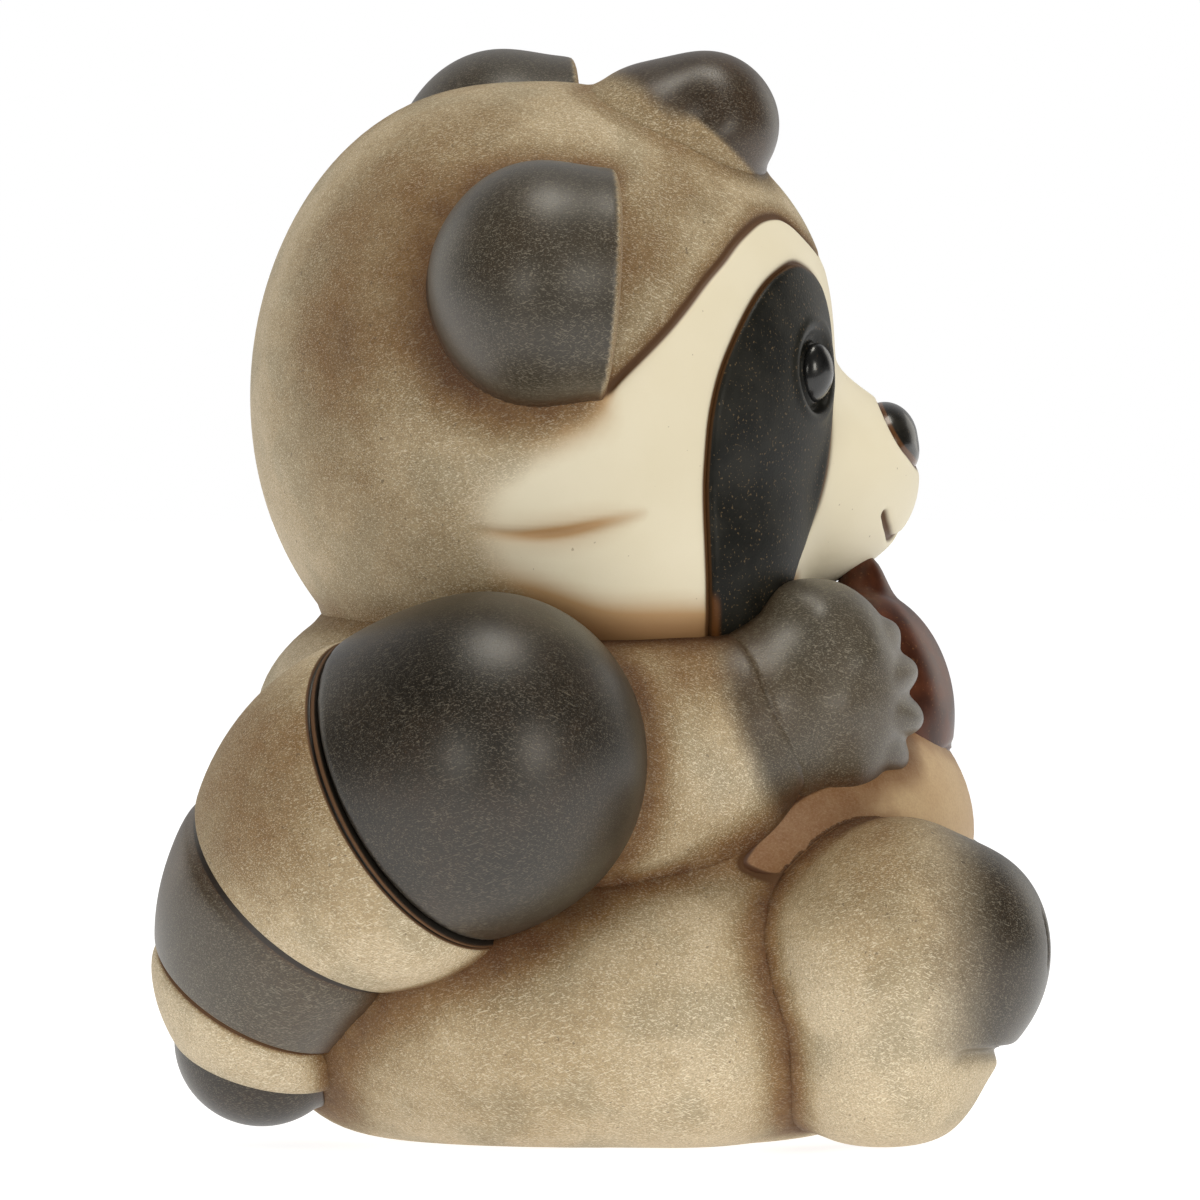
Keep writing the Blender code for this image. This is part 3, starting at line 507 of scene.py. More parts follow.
def cut_out(ways, faces, level):
    """The part of a skin where level is above 0, cut cleanly along the line where it is 0."""
    edges, of_face = shared_edges(faces)
    a, b = level[edges[:, 0]], level[edges[:, 1]]
    cross = (a > 0) != (b > 0)
    number = np.full(len(edges), -1)
    number[cross] = len(ways) + np.arange(cross.sum())
    t = (a / np.where(cross, a - b, 1))[cross, None]
    new = unit(ways[edges[cross, 0]] * (1 - t) + ways[edges[cross, 1]] * t)
    ways, level = np.concatenate((ways, new)), np.concatenate((level, np.zeros(len(new))))
    count = (level[faces] > 0).sum(1)
    made = [faces[count == 3]]
    mids = number[of_face]
    for roll in range(3):
        (p, q, r), (m, n, o) = np.roll(faces, -roll, 1).T, np.roll(mids, -roll, 1).T
        lone = (count == 1) & (level[p] > 0)
        pair = (count == 2) & (level[p] <= 0)
        made.append(np.stack((p, m, o), 1)[lone])
        made += [np.stack(t, 1)[pair] for t in ((m, q, r), (m, r, o))]
    return packed(ways, level, np.concatenate(made))


def packed(ways, level, faces):
    """Drops points that no face uses."""
    used, faces = np.unique(faces, return_inverse=True)
    return ways[used], level[used], faces.reshape(-1, 3)


def closed_patch(top, bottom, faces):
    """Points and faces of a solid slab between two skins of the same patch."""
    edges, of_face = shared_edges(faces)
    rim = np.bincount(of_face.ravel(), minlength=len(edges)) == 1
    sides = []
    for i, j in ((0, 1), (1, 2), (2, 0)):
        edge = faces[:, (i, j)][rim[of_face[:, i]]]
        p, q = edge.T
        sides += [np.stack((p, p + len(top), q), 1), np.stack((q, p + len(top), q + len(top)), 1)]
    return np.concatenate((top, bottom)), np.concatenate([faces, faces[:, ::-1] + len(top), *sides])


# %% [markdown]
# ## Shader maths in plain Python
# A wire wraps one output socket. Sums and products of wires add Math nodes, so a glaze can be
# written as a formula. Any other node comes from one method, with its settings first.

# %% The Wire class
class Wire:
    """One output socket of a node tree, usable in Python sums."""

    def __init__(self, tree, socket=None):
        self.tree = tree
        self.socket = socket

    def node(self, kind, settings=None, values=None, out=0):
        made = self.tree.nodes.new(kind)
        for key, value in (settings or {}).items():
            setattr(made, key, value)
        for key, value in (values or {}).items():
            if isinstance(value, Wire):
                self.tree.links.new(value.socket, made.inputs[key])
            else:
                made.inputs[key].default_value = value
        return Wire(self.tree, made.outputs[out] if made.outputs else None)

    def maths(self, operation, *others):
        values = dict(enumerate((self, *others)))
        return self.node("ShaderNodeMath", {"operation": operation}, values)

    def __add__(self, other):
        return self.maths("ADD", other)

    def __sub__(self, other):
        return self.maths("SUBTRACT", other)

    def __rsub__(self, other):
        return self.node("ShaderNodeMath", {"operation": "SUBTRACT"}, {0: other, 1: self})

    def __mul__(self, other):
        return self.maths("MULTIPLY", other)

    __radd__ = __add__
    __rmul__ = __mul__

    def step(self, start, end):
        """0 below start, 1 above end, smooth between."""
        values = {"Value": self, "From Min": start, "From Max": end}
        return self.node("ShaderNodeMapRange", {"interpolation_type": "SMOOTHSTEP"}, values)

    def share(self, start, end):
        """0 below start, 1 above end, a straight climb between."""
        return self.node("ShaderNodeMapRange", None, {"Value": self, "From Min": start, "From Max": end})

    def ramp(self, *stops):
        """A colour that runs through (value, colour) stops."""
        found, before = stops[0][1], stops[0][0]
        for value, colour in stops[1:]:
            found, before = self.share(before, value).mix(found, colour), value
        return found

    def mix(self, first, second):
        """From first to second colour as this wire goes from 0 to 1."""
        values = {0: self, 6: first, 7: second}
        return self.node("ShaderNodeMix", {"data_type": "RGBA"}, values, out=2)

    def times(self, colour):
        """This colour darkened or tinted by another."""
        values = {0: 1.0, 6: self, 7: colour}
        return self.node("ShaderNodeMix", {"data_type": "RGBA", "blend_type": "MULTIPLY"}, values, out=2)


def rgb(red, green, blue):
    return (red, green, blue, 1.0)


# %% [markdown]
# ## Grain of the clay
# Close up, the fur glaze is sandy: pale hair-like strokes about 1 mm long, dark pinpoints and slow
# drifts of tone, where the sprayed stain was wiped back. An image could hold this, but noise in
# object space has no seams. Noise stretched along one direction makes strokes; three directions mixed
# make the felted look.

# %% Texture helpers
def start_wires(name):
    """A new material, its empty tree and the place of the shaded point in millimetres."""
    material = bpy.data.materials.new(name)
    material.use_nodes = True
    tree = material.node_tree
    tree.nodes.clear()
    wire = Wire(tree)
    place = wire.node("ShaderNodeTexCoord", out=3)
    place = place.node("ShaderNodeVectorMath", {"operation": "SCALE"}, {0: place, "Scale": 1 / MM})
    return material, wire, place


def noise(place, scale, detail=2.0, rough=0.5):
    values = {"Vector": place, "Scale": scale, "Detail": detail, "Roughness": rough}
    return place.node("ShaderNodeTexNoise", None, values)


def strokes(place, turn, length=0.8, width=0.13):
    """Hair-like marks along one direction, as values from 0 to 1."""
    size = (1 / length, 1 / width, 1 / width)
    run = place.node("ShaderNodeMapping", {"vector_type": "TEXTURE"}, {"Vector": place, "Rotation": turn})
    stretched = run.node("ShaderNodeVectorMath", {"operation": "MULTIPLY"}, {0: run, 1: size})
    return noise(stretched, 1.0, 1.0)


def felt(place):
    """Crossing strokes, most of them along the figurine."""
    first = strokes(place, (0.3, 0.35, 1.25)).step(0.61, 0.69)
    second = strokes(place, (1.1, -0.4, 1.9)).step(0.61, 0.69)
    third = strokes(place, (-0.5, 0.05, 1.6), 0.6).step(0.63, 0.71)
    return first.maths("MAXIMUM", second).maths("MAXIMUM", third)


def attributes(wire, *names):
    """The glaze values that add_piece stored on the vertices."""
    return [wire.node("ShaderNodeAttribute", {"attribute_name": name}, out=2) for name in names]


def finish_glaze(material, wire, colour, roughness, height, lift=0.05, **gloss):
    """Principled shader with a bump of so many millimetres."""
    bump = wire.node("ShaderNodeBump", None, {"Height": height, "Strength": 0.6, "Distance": lift * MM})
    values = {"Base Color": colour, "Roughness": roughness, "Normal": bump, **gloss}
    shader = wire.node("ShaderNodeBsdfPrincipled", None, values)
    wire.node("ShaderNodeOutputMaterial", None, {"Surface": shader})
    return material


# %% [markdown]
# ## The fur glaze
# One material serves all the furry clay. Its vertex attributes say where the face is cream, where
# the stain is nearly black, where warm brown was sprayed into a joint, and where a line is incised;
# on the tail the same line paints the shadow under each band's lip.

# %% Fur glaze
def tan_fur(place, stain, spread, grain, hairs):
    """Sandy brown under pale hairs, with dark hairs, pinpoints and worn drifts; a stain browns it."""
    tan = spread.ramp(
        (0.0, rgb(0.56, 0.46, 0.315)), (0.25, rgb(0.44, 0.34, 0.205)), (0.5, rgb(0.30, 0.212, 0.108)),
        (0.75, rgb(0.212, 0.118, 0.043)), (1.0, rgb(0.112, 0.044, 0.011)),
    )
    tan = grain.share(0.32, 0.68).mix(tan.times(rgb(0.70, 0.68, 0.64)), tan.times(rgb(1.18, 1.17, 1.16)))
    worn = noise(place, 0.14, 3.0, 0.4).step(0.47, 0.68) * (1 - stain) * 0.38
    tan = worn.mix(tan, rgb(0.23, 0.20, 0.125))
    dark_hairs = strokes(place, (0.6, 0.2, 0.9), 0.7).step(0.61, 0.70) * 0.42
    tan = dark_hairs.mix(tan, tan.times(rgb(0.42, 0.38, 0.32)))
    tan = (hairs * (0.85 - stain * 0.78)).mix(tan, rgb(0.80, 0.71, 0.53))
    pinpoints = noise(place, 1.7, 1.0).step(0.735, 0.77) * 0.55
    return pinpoints.mix(tan, rgb(0.09, 0.06, 0.035))


def sooty_fur(spread, drift, grain, hairs):
    """Nearly black, warmer where it is stained, with a rusty grain."""
    soot = spread.ramp((0.0, rgb(0.014, 0.0105, 0.006)), (0.8, rgb(0.036, 0.017, 0.006)))
    soot = drift.step(0.35, 0.65).mix(soot, soot.times(rgb(1.5, 1.45, 1.4)))
    soot = grain.share(0.35, 0.7).mix(soot.times(rgb(0.62, 0.62, 0.64)), soot.times(rgb(1.5, 1.4, 1.25)))
    soot = (grain.step(0.64, 0.74) * 0.25).mix(soot, rgb(0.17, 0.10, 0.045))
    return (hairs * 0.04).mix(soot, rgb(0.36, 0.29, 0.19))


def ivory_face(place, stain, drift):
    """Cream with a few brown specks, browned by a stain."""
    ivory = drift.step(0.3, 0.7).mix(rgb(0.80, 0.725, 0.55), rgb(0.77, 0.69, 0.505))
    ivory = stain.ramp((0.04, ivory), (0.5, rgb(0.47, 0.29, 0.135)), (1.0, rgb(0.21, 0.095, 0.032)))
    specks = noise(place, 1.7, 1.0).step(0.80, 0.815) * 0.5
    return specks.mix(ivory, rgb(0.25, 0.17, 0.09))


def fur_glaze():
    material, wire, place = start_wires("fur_glaze")
    drift, patch = noise(place, 0.075, 3.0), noise(place, 0.38, 3.0)
    grain, hairs = noise(place, 4.6, 3.0, 0.7), felt(place)
    dark, cream, stain, line = attributes(wire, "dark", "cream", "stain", "line")
    spread = stain + (drift - 0.5) * 0.45 + (patch - 0.5) * 0.35
    sprayed = (dark + (hairs * -0.10) + (patch - 0.5) * 0.3 * (1 - dark)).share(0.08, 0.98)
    fur = sprayed.mix(tan_fur(place, stain, spread, grain, hairs), sooty_fur(spread, drift, grain, hairs))
    on_face = (cream + (patch - 0.5) * (1 - cream) * cream * 1.8).step(0.15, 0.85)
    colour = on_face.mix(fur, ivory_face(place, stain, drift))
    # Incised lines are brown, near black where the fur is sooty; on the tail this colour also paints the
    # shadow line under each band's lip.
    incised_and_shadow_line = dark.mix(rgb(0.105, 0.046, 0.014), rgb(0.010, 0.007, 0.004))
    colour = line.step(0.15, 0.75).mix(colour, incised_and_shadow_line)
    roughness = 0.66 - sprayed * 0.29 - cream * 0.16 + grain * 0.05
    height = (grain + hairs * 0.5) * (1 - cream * 0.85) * (1 - sprayed * 0.4)
    gloss = {"Specular IOR Level": 0.42, "Coat Weight": sprayed * 0.5, "Coat Roughness": 0.37}
    return finish_glaze(material, wire, colour, roughness, height, 0.08, **gloss)


FUR = fur_glaze()
print("fur glaze nodes:", len(FUR.node_tree.nodes))

# %% [markdown]
# ## The other glazes
# The eye patches are near black with pinpoints of rust, satin rather than glossy. The belly is peach
# with an orange stain towards its edge, the nut a glossy red-brown, and eyes and nose are dipped
# in a clear black glaze. Each has its own drift and grain, so none reads as flat plastic.

# %% Mask, belly, nut and bead glazes
def mask_glaze():
    material, wire, place = start_wires("mask_glaze")
    drift, grain = noise(place, 0.25, 3.0), noise(place, 3.4, 1.0)
    stain, line = attributes(wire, "stain", "line")
    colour = drift.step(0.35, 0.7).mix(rgb(0.007, 0.007, 0.005), rgb(0.018, 0.017, 0.013))
    colour = (grain.step(0.64, 0.74) * 0.7).mix(colour, rgb(0.15, 0.10, 0.05))
    colour = (stain.step(0.1, 0.9) * 0.7).mix(colour, rgb(0.15, 0.055, 0.013))
    colour = line.step(0.2, 0.9).mix(colour, rgb(0.07, 0.032, 0.011))
    gloss = {"Specular IOR Level": 0.2}
    return finish_glaze(material, wire, colour, 0.38 + drift * 0.12, grain, 0.04, **gloss)


def belly_glaze():
    material, wire, place = start_wires("belly_glaze")
    drift, patch, grain = noise(place, 0.15, 3.0), noise(place, 0.6, 3.0), noise(place, 3.6, 2.0)
    stain, line = attributes(wire, "stain", "line")
    colour = drift.step(0.3, 0.7).mix(rgb(0.52, 0.36, 0.19), rgb(0.46, 0.30, 0.15))
    colour = (stain * 1.1 + (patch - 0.5) * 0.4).step(0.0, 1.05).mix(colour, rgb(0.205, 0.085, 0.022))
    colour = (grain.step(0.35, 0.7) * 0.28).mix(colour, rgb(0.34, 0.215, 0.115))
    colour = (felt(place) * 0.08).mix(colour, rgb(0.75, 0.60, 0.40))
    colour = line.step(0.2, 0.8).mix(colour, rgb(0.085, 0.034, 0.012))
    return finish_glaze(material, wire, colour, 0.5 + grain * 0.08, grain, 0.05)


def nut_glaze():
    material, wire, place = start_wires("nut_glaze")
    drift, grain = noise(place, 0.3, 3.0), noise(place, 3.0, 1.0)
    dark, line = attributes(wire, "dark", "line")
    colour = drift.step(0.3, 0.7).mix(rgb(0.042, 0.011, 0.004), rgb(0.100, 0.027, 0.009))
    colour = dark.mix(colour, rgb(0.035, 0.015, 0.009))
    colour = (grain.step(0.64, 0.74) * 0.4).mix(colour, rgb(0.22, 0.10, 0.035))
    colour = line.step(0.2, 0.8).mix(colour, rgb(0.018, 0.008, 0.004))
    gloss = {"Specular IOR Level": 0.35}
    return finish_glaze(material, wire, colour, 0.28 + drift * 0.12, drift, 0.05, **gloss)


def bead_glaze(name, tone):
    material, wire, place = start_wires(name)
    drift, grain = noise(place, 0.5, 2.0), noise(place, 4.0, 1.0)
    (line,) = attributes(wire, "line")
    colour = drift.step(0.35, 0.65).mix(rgb(*tone), rgb(*(c * 1.8 for c in tone)))
    colour = (grain.step(0.70, 0.76) * 0.5).mix(colour, rgb(0.12, 0.075, 0.04))
    colour = line.step(0.2, 0.8).mix(colour, rgb(0.115, 0.048, 0.016))
    gloss = {"Coat Weight": 0.3}
    return finish_glaze(material, wire, colour, 0.22 + drift * 0.1, drift, 0.03, **gloss)


MASK_GLAZE, BELLY_GLAZE, NUT_GLAZE = mask_glaze(), belly_glaze(), nut_glaze()
EYE_GLAZE = bead_glaze("eye_glaze", (0.007, 0.007, 0.007))
NOSE_GLAZE = bead_glaze("nose_glaze", (0.011, 0.010, 0.008))
print("glazes made:", [m.name for m in bpy.data.materials if m.node_tree][-6:])

# %% [markdown]
# ## Ears
# Each ear is the rear half of an egg with a dished face that looks forwards. The face plane and the
# egg are joined by a smooth minimum, which rolls the rim over, and the dish pushes the face back.

# %% Ear shapes
EAR_LEAN, EAR_BACK, EAR_DISH, EAR_DISH_RADIUS, EAR_RIM = 3.6, 4.6, 3.0, 10.2, 2.4
LEAST_SLOPE = 0.02  # a ray that runs closer to a cutting plane than that never meets it


class Ear(Form):
    """An egg cut off by its face; side is 1 for the raccoon's right."""

    def __init__(self, side):
        self.middle = np.array((-side * 27.0, -4.6, 19.6))
        lean = math.radians(EAR_LEAN)
        self.front = np.array((0, -math.cos(lean), -math.sin(lean)))
        back = swelling(self.middle + (0, 7.5, 0), 26.4, 23.4, 26.0, -EAR_LEAN)
        cup = swelling(self.middle + (0, 3.1, 0), 24.8, 32.2, 24.8, -EAR_LEAN)
        super().__init__(self.middle - self.front * EAR_BACK, (back, cup), 1.0, HEAD_POSE)

    def reach(self, ways):
        egg = super().reach(ways)
        slope = np.maximum(ways @ self.front, LEAST_SLOPE)
        flat = EAR_BACK / slope
        across = self.heart + ways * flat[:, None] - self.middle
        share = np.clip(np.linalg.norm(across, axis=1) / EAR_DISH_RADIUS, 0, 1)
        flat = (EAR_BACK - EAR_DISH * (1 - share**3) ** 1.5) / slope
        return -smooth_max(-egg, -flat, EAR_RIM)


ears = [Ear(1), Ear(-1)]
print("ear face at", ears[0].middle, "in the head's frame")

# %% [markdown]
# ## Tail
# The tail is built of stacked cups: each upper band overhangs the lower one with a rounded lip, and
# leaves a dark shadow line, which is painted into the glaze as well. A curve with a bevel could do the
# tube but not the lips, so every band is swept along the tail's middle line with its own profile.

# %% Tail middle line and depth
SPINE = (
    (-13.2, 37.3, 9.7), (-17.0, 37.6, 17.6), (-23.4, 31.4, 28.6), (-31.4, 19.9, 38.4),
    (-34.6, 13.4, 38.6),
)
RING_WAYS = ((-0.35, -0.23, 0.91), (-0.44, -0.44, 0.79), (-0.50, -0.56, 0.67), (-0.50, -0.75, 0.43))
TAIL_RADII = (9.3, 12.0, 15.5, 18.2)
BALL = (-36.0, 13.4, 41.8)


def spine_point(t):
    spine = np.array(SPINE)
    i = min(max(int(t), 0), len(spine) - 2)
    p0, p1, p2, p3 = (spine[min(max(i + k, 0), len(spine) - 1)] for k in (-1, 0, 1, 2))
    return between(p0, p1, p2, p3, t - i)


def spine_way(t):
    """The direction a ring faces: each ring has its own, as the bands lean on one another."""
    return unit(np.array([np.interp(t, range(4), column) for column in zip(*RING_WAYS)]))


def tail_depth(points):
    """Distance outside the banded part of the tail."""
    best = np.full(len(points), NOWHERE)
    for t in np.linspace(0, 3, 31):
        radius = np.interp(t, range(4), TAIL_RADII)
        best = np.minimum(best, np.linalg.norm(points - spine_point(t), axis=1) - radius)
    return best


tail_tip = Form(BALL, (swelling(BALL, 35.7, 33.9, 35.7), swelling((-31.6, 19.6, 39.3), 35.1, 35.3, 34.7)))
ROOT_MIDDLE = (-12.2, 36.9, 11.1)
tail_root = Form(ROOT_MIDDLE, (swelling(ROOT_MIDDLE, 17.2, 18.8, 18.4),))
print("tail runs from", spine_point(0).round(1), "to", spine_point(3).round(1))

# %% Tail bands
LIP = ((0.0, -1.6), (0.0, -0.5), (0.008, -0.2), (0.025, -0.02), (0.06, 0.02))
PLAIN_END = ((0.8, 0.0), (0.9, -0.35), (0.98, -0.75), (1.05, -1.2), (1.08, -2.4))
DOUBLE_END = (
    (0.8, 0.0), (0.92, -0.05), (0.945, -0.25), (0.957, -0.55), (0.968, -0.5), (0.978, -0.27),
    (0.99, -0.2), (1.008, -0.26), (1.02, -1.3),
)
TAIL_BARRELS = (0.5, 0.4, 1.7)
LAST_BAND = len(TAIL_BARRELS) - 1
BAND_SIDES = 200


def band_mesh(i):
    """Rings of points round the tail's middle line, closed with a point at either end."""
    end = DOUBLE_END if i == LAST_BAND else PLAIN_END
    stations = curve(LIP + ((0.3, 0.0), (0.55, 0.0)) + end, steps=5)
    stations[:, 1] += TAIL_BARRELS[i] * np.sin(np.clip(stations[:, 0], 0, 1) * math.pi)
    side = unit(np.cross(spine_way(i + 0.5), (0, 0, 1.0)))
    turns = np.linspace(0, math.tau, BAND_SIDES, endpoint=False)
    rings = []
    for share, proud in stations:
        way, middle = spine_way(i + share), spine_point(i + share)
        over = unit(np.cross(side, way))
        across = unit(np.cross(way, over))
        radius = np.interp(i + share, range(4), TAIL_RADII) + proud
        rings.append(middle + radius * (np.cos(turns)[:, None] * across + np.sin(turns)[:, None] * over))
    points = np.concatenate((*rings, [spine_point(i + stations[0][0])], [spine_point(i + stations[-1][0])]))
    at, after = np.arange(BAND_SIDES), (np.arange(BAND_SIDES) + 1) % BAND_SIDES
    faces = []
    for row in range(len(rings) - 1):
        a, b = row * BAND_SIDES, (row + 1) * BAND_SIDES
        faces += [np.stack((a + at, b + at, a + after), 1), np.stack((a + after, b + at, b + after), 1)]
    last = (len(rings) - 1) * BAND_SIDES
    faces += [np.stack((at * 0 + len(points) - 2, at, after), 1)]
    faces += [np.stack((at * 0 + len(points) - 1, last + after, last + at), 1)]
    share = np.repeat(stations[:, 0], BAND_SIDES)
    return points, np.concatenate(faces), np.concatenate((share, stations[[0, -1], 0]))


TAIL_PUFFS = (
    ((36.9, 40.7), 11.0, 0.6), ((41.0, 33.0), 8.0, 0.45),
    ((33.0, 45.5), 6.0, 0.35), ((27.5, 27.5), 9.0, 0.25),
)


def make_band(i, name, dark):
    points, faces, share = band_mesh(i)
    stain = layered(airbrush(points, ((body.depth, 2.4, 0.8),)), puffs(points, TAIL_PUFFS))
    # Painted shade: where a lower band runs in under the lip of the band above, its end is browned as if by
    # the lip's shadow.
    stain = np.maximum(stain, 0.75 * bell(share - 0.95, 0.035) * (i < LAST_BAND))
    # The line at each band's end and on the underside of its lip is painted shadow under the overhanging
    # lip; at the last band's end it is the incised double line round the tip.
    line = np.maximum(soft_step(share, 0.935, 0.95), 1 - soft_step(share, -0.01, 0.004))
    # The dark band's soot turns its painted shadow line near black.
    black = np.full(len(points), 0.9 * dark)
    if i == LAST_BAND:
        brown_again = soft_step(share, 0.966, 0.974)
        black = soft_step(share, 0.947, 0.954) - brown_again + soft_step(share, 1.005, 1.011)
    kind = "dark_fur" if dark else "fur"
    add_piece(name, points, faces, FUR, kind, dark=black, stain=stain, line=line)


make_band(0, "tail_band_pale_lower", False)
make_band(1, "tail_band_dark", True)
make_band(2, "tail_band_pale_upper", False)

# %% [markdown]
# ## Tail ends
# The tip is a ball that swells out of the top band, and the root a small dark roll that the body
# carries. Both are star-shaped forms, so they use the plain skin; the tip is cut square at its ring
# with a rounded edge, which makes the inner half of the double line.

# %% Tail tip and root
TIP_RIM = 2.4


def make_tip():
    ways, faces = SPHERE
    way, ring = spine_way(3.0), spine_point(3.0)
    reach = tail_tip.reach(ways)
    slope = -ways @ way
    flat = (tail_tip.heart - ring) @ way / np.maximum(slope, LEAST_SLOPE)
    flat = np.where(slope > LEAST_SLOPE, flat, NOWHERE)
    points = tail_tip.at(ways, -smooth_max(-reach, -flat, TIP_RIM))
    line = 1 - soft_step((points - ring) @ way, 0.1, 0.9)
    add_piece("tail_tip", points, faces, FUR, "dark_fur", dark=np.ones(len(points)), line=line)


def make_plain(name, form, neighbours, sprays, dark, material=FUR, kind="dark_fur"):
    ways, faces = SPHERE
    points = form.at(ways, luted_reach(form, ways, neighbours))
    black = np.full(len(points), float(dark))
    add_piece(name, points, faces, material, kind, dark=black, stain=airbrush(points, sprays))


make_tip()
make_plain("tail_root", tail_root, ((body.depth, SEAM["root"]),), ((body.depth, 1.0, 0.6),), True)

# %% [markdown]
# ## Head
# The head carries most of the drawing: an incised line parts cream face from brown crown and fades
# out behind the ear, the eye patches sit in their own outline, and a soft crease marks each cheek.
# Depths and glaze values come from distances to those lines.

# %% Face lines
FACE_LINE = curve((
    (-8, 46.5), (0, 43.5), (8, 46.5), (15.6, 50.3), (22, 54.2), (28.9, 56.1), (40, 56.2), (52.4, 53.7),
    (62, 49.8), (70.7, 45.2), (82.4, 36.4), (91.1, 29.3), (95.5, 24.5),
))
FACE_EDGE = np.concatenate((FACE_LINE, curve((
    (98, 22), (108, 15), (116, 6), (115, -5), (108, -15),
    (98, -25), (80, -36), (55, -46), (25, -50), (-8, -50),
))))
CHEEK_LINE = curve(((118.6, 1.2), (110, 0.6), (101.7, 1.4), (93, 3.4), (85, 5.2)))
MOUTH_LINE = curve(((-4, -11.0), (0, -10.6), (5, -12.4), (10.5, -12.1), (15.1, -8.7), (17.2, -5.9)))
LIP_LINE = curve(((0, -1.5), (0, -10.4)), steps=4)
HEAD_LINES = {"face": FACE_LINE, "cheek": CHEEK_LINE, "mouth": MOUTH_LINE, "lip": LIP_LINE, "mask": MASK}
LINE_WIDTH = {"face": 0.58, "cheek": 0.9, "mouth": 0.55, "lip": 0.35, "mask": 0.55, "nose": 0.45}
LINE_DEPTH = {"face": 0.5, "cheek": 0.6, "mouth": 0.8, "nose": 0.35}
CREAM_PROUD = 0.12  # the thicker cream glaze stands out from the fur by that much
HEAD_PUFFS = (
    ((-20.6, 22.5, 12.7), 11.0, 0.72), ((-13.7, 19.1, 25.3), 10.0, 0.66), ((-7.5, 8.1, 33.1), 9.0, 0.4),
    ((-15.7, -13.8, 26.9), 6.5, 0.45), ((-23.9, -7.9, 22.3), 6.0, 0.6), ((-23.4, 21.3, -7.4), 11.0, 0.25),
    ((-20.9, 24.5, 3.0), 8.0, 0.25), ((-27.5, 8.5, -9.0), 8.0, 0.25),
)
LOCK_EDGE = ((-24.0, -22.9, -17.9, -15.2, -11.9, -9.2, -4.0), (21.5, 24.0, 28.7, 31.1, 31.6, 34.4, 38.0))
TILT_SLOPE = 0.249  # the tangent of the head's tilt


def seen_height(own):
    """Height in the head's frame as the side view shows it, lower away from the middle."""
    return own[:, 2] - TILT_SLOPE * np.abs(own[:, 0])


def lock_spray(own):
    """How dark the curl over the brow is: soft behind, crisp before; places are in the head's frame."""
    above = seen_height(own) - np.interp(own[:, 1], *LOCK_EDGE)
    return 0.95 * soft_step(above / (0.5 + 1.6 * soft_step(own[:, 1], -17.0, -11.0)), -1.0, 1.0)


nose_middle = np.array((0.0, -37.3, -4.4))
nose = Form(nose_middle, (
    swelling(nose_middle, 10.3, 7.0, 8.1),
    swelling(nose_middle + (0, -0.3, -1.6), 8.0, 6.2, 5.0),
), blend=1.5, pose=HEAD_POSE)


def head_lines(skin):
    """Distances from the skin to every drawn line, in mm, both sides alike."""
    near = folded(skin)
    found = {}
    for name, line in HEAD_LINES.items():
        found[name], found[name + "_along"] = from_line(near, drawn_on(head, line))
    return found


def head_fineness(skin):
    far = head_lines(skin)
    bead = np.abs(nose.depth(nose.placed(skin + head.heart)))
    crisp = [far[name] for name in ("face", "mask", "mouth", "lip")]
    nearest = np.minimum.reduce([*crisp, far["cheek"] + 0.8, bead])
    return np.clip(0.24 + (nearest - 0.9) * 0.45, 0.24, 1.4)


head_ways, head_faces = refine(head, *SPHERE, head_fineness)
print("head skin:", len(head_faces), "faces")

# %% Head piece
EYE_MIDDLE, EYE_TURN = np.array((-14.9, -27.8, 6.8)), 35.0
SIDES = ((1, "right"), (-1, "left"))
limbs = {1: {"arm": arm, "paw": paw, "leg": leg, "foot": foot}}
limbs[-1] = {name: form.mirrored() for name, form in limbs[1].items()}


def both_sides(name, width, strength):
    """Sprays where either limb of that name touches, for the airbrush."""
    return [(limbs[side][name].depth, width, strength) for side in (1, -1)]


def head_glaze_values(ways, far):
    """Cream of the face, then how strongly each kind of drawn line shows, all from 0 to 1."""
    edge, along = into_outline(head, ways, FACE_EDGE, limit=14.0)
    line_end = len(FACE_LINE) / len(FACE_EDGE)
    softness = 0.2 + 5.3 * soft_step(along, 0.88 * line_end, 1.10 * line_end)
    cream = soft_step(edge / softness, -0.8, 1.0)
    fade = 1 - soft_step(far["face_along"], 0.93, 1.0)
    shown = {name: bell(far[name], LINE_WIDTH[name]) for name in ("face", "mask", "mouth", "lip")}
    slot = np.maximum(shown["mouth"], 0.75 * shown["lip"])
    taper = np.sin(far["cheek_along"] * math.pi)
    cheek = 0.6 * bell(far["cheek"], 0.7) * taper ** 0.6 + 0.4 * bell(far["cheek"], 2.3) * taper ** 1.5
    return cream, shown["face"] * fade, shown["mask"], slot, cheek


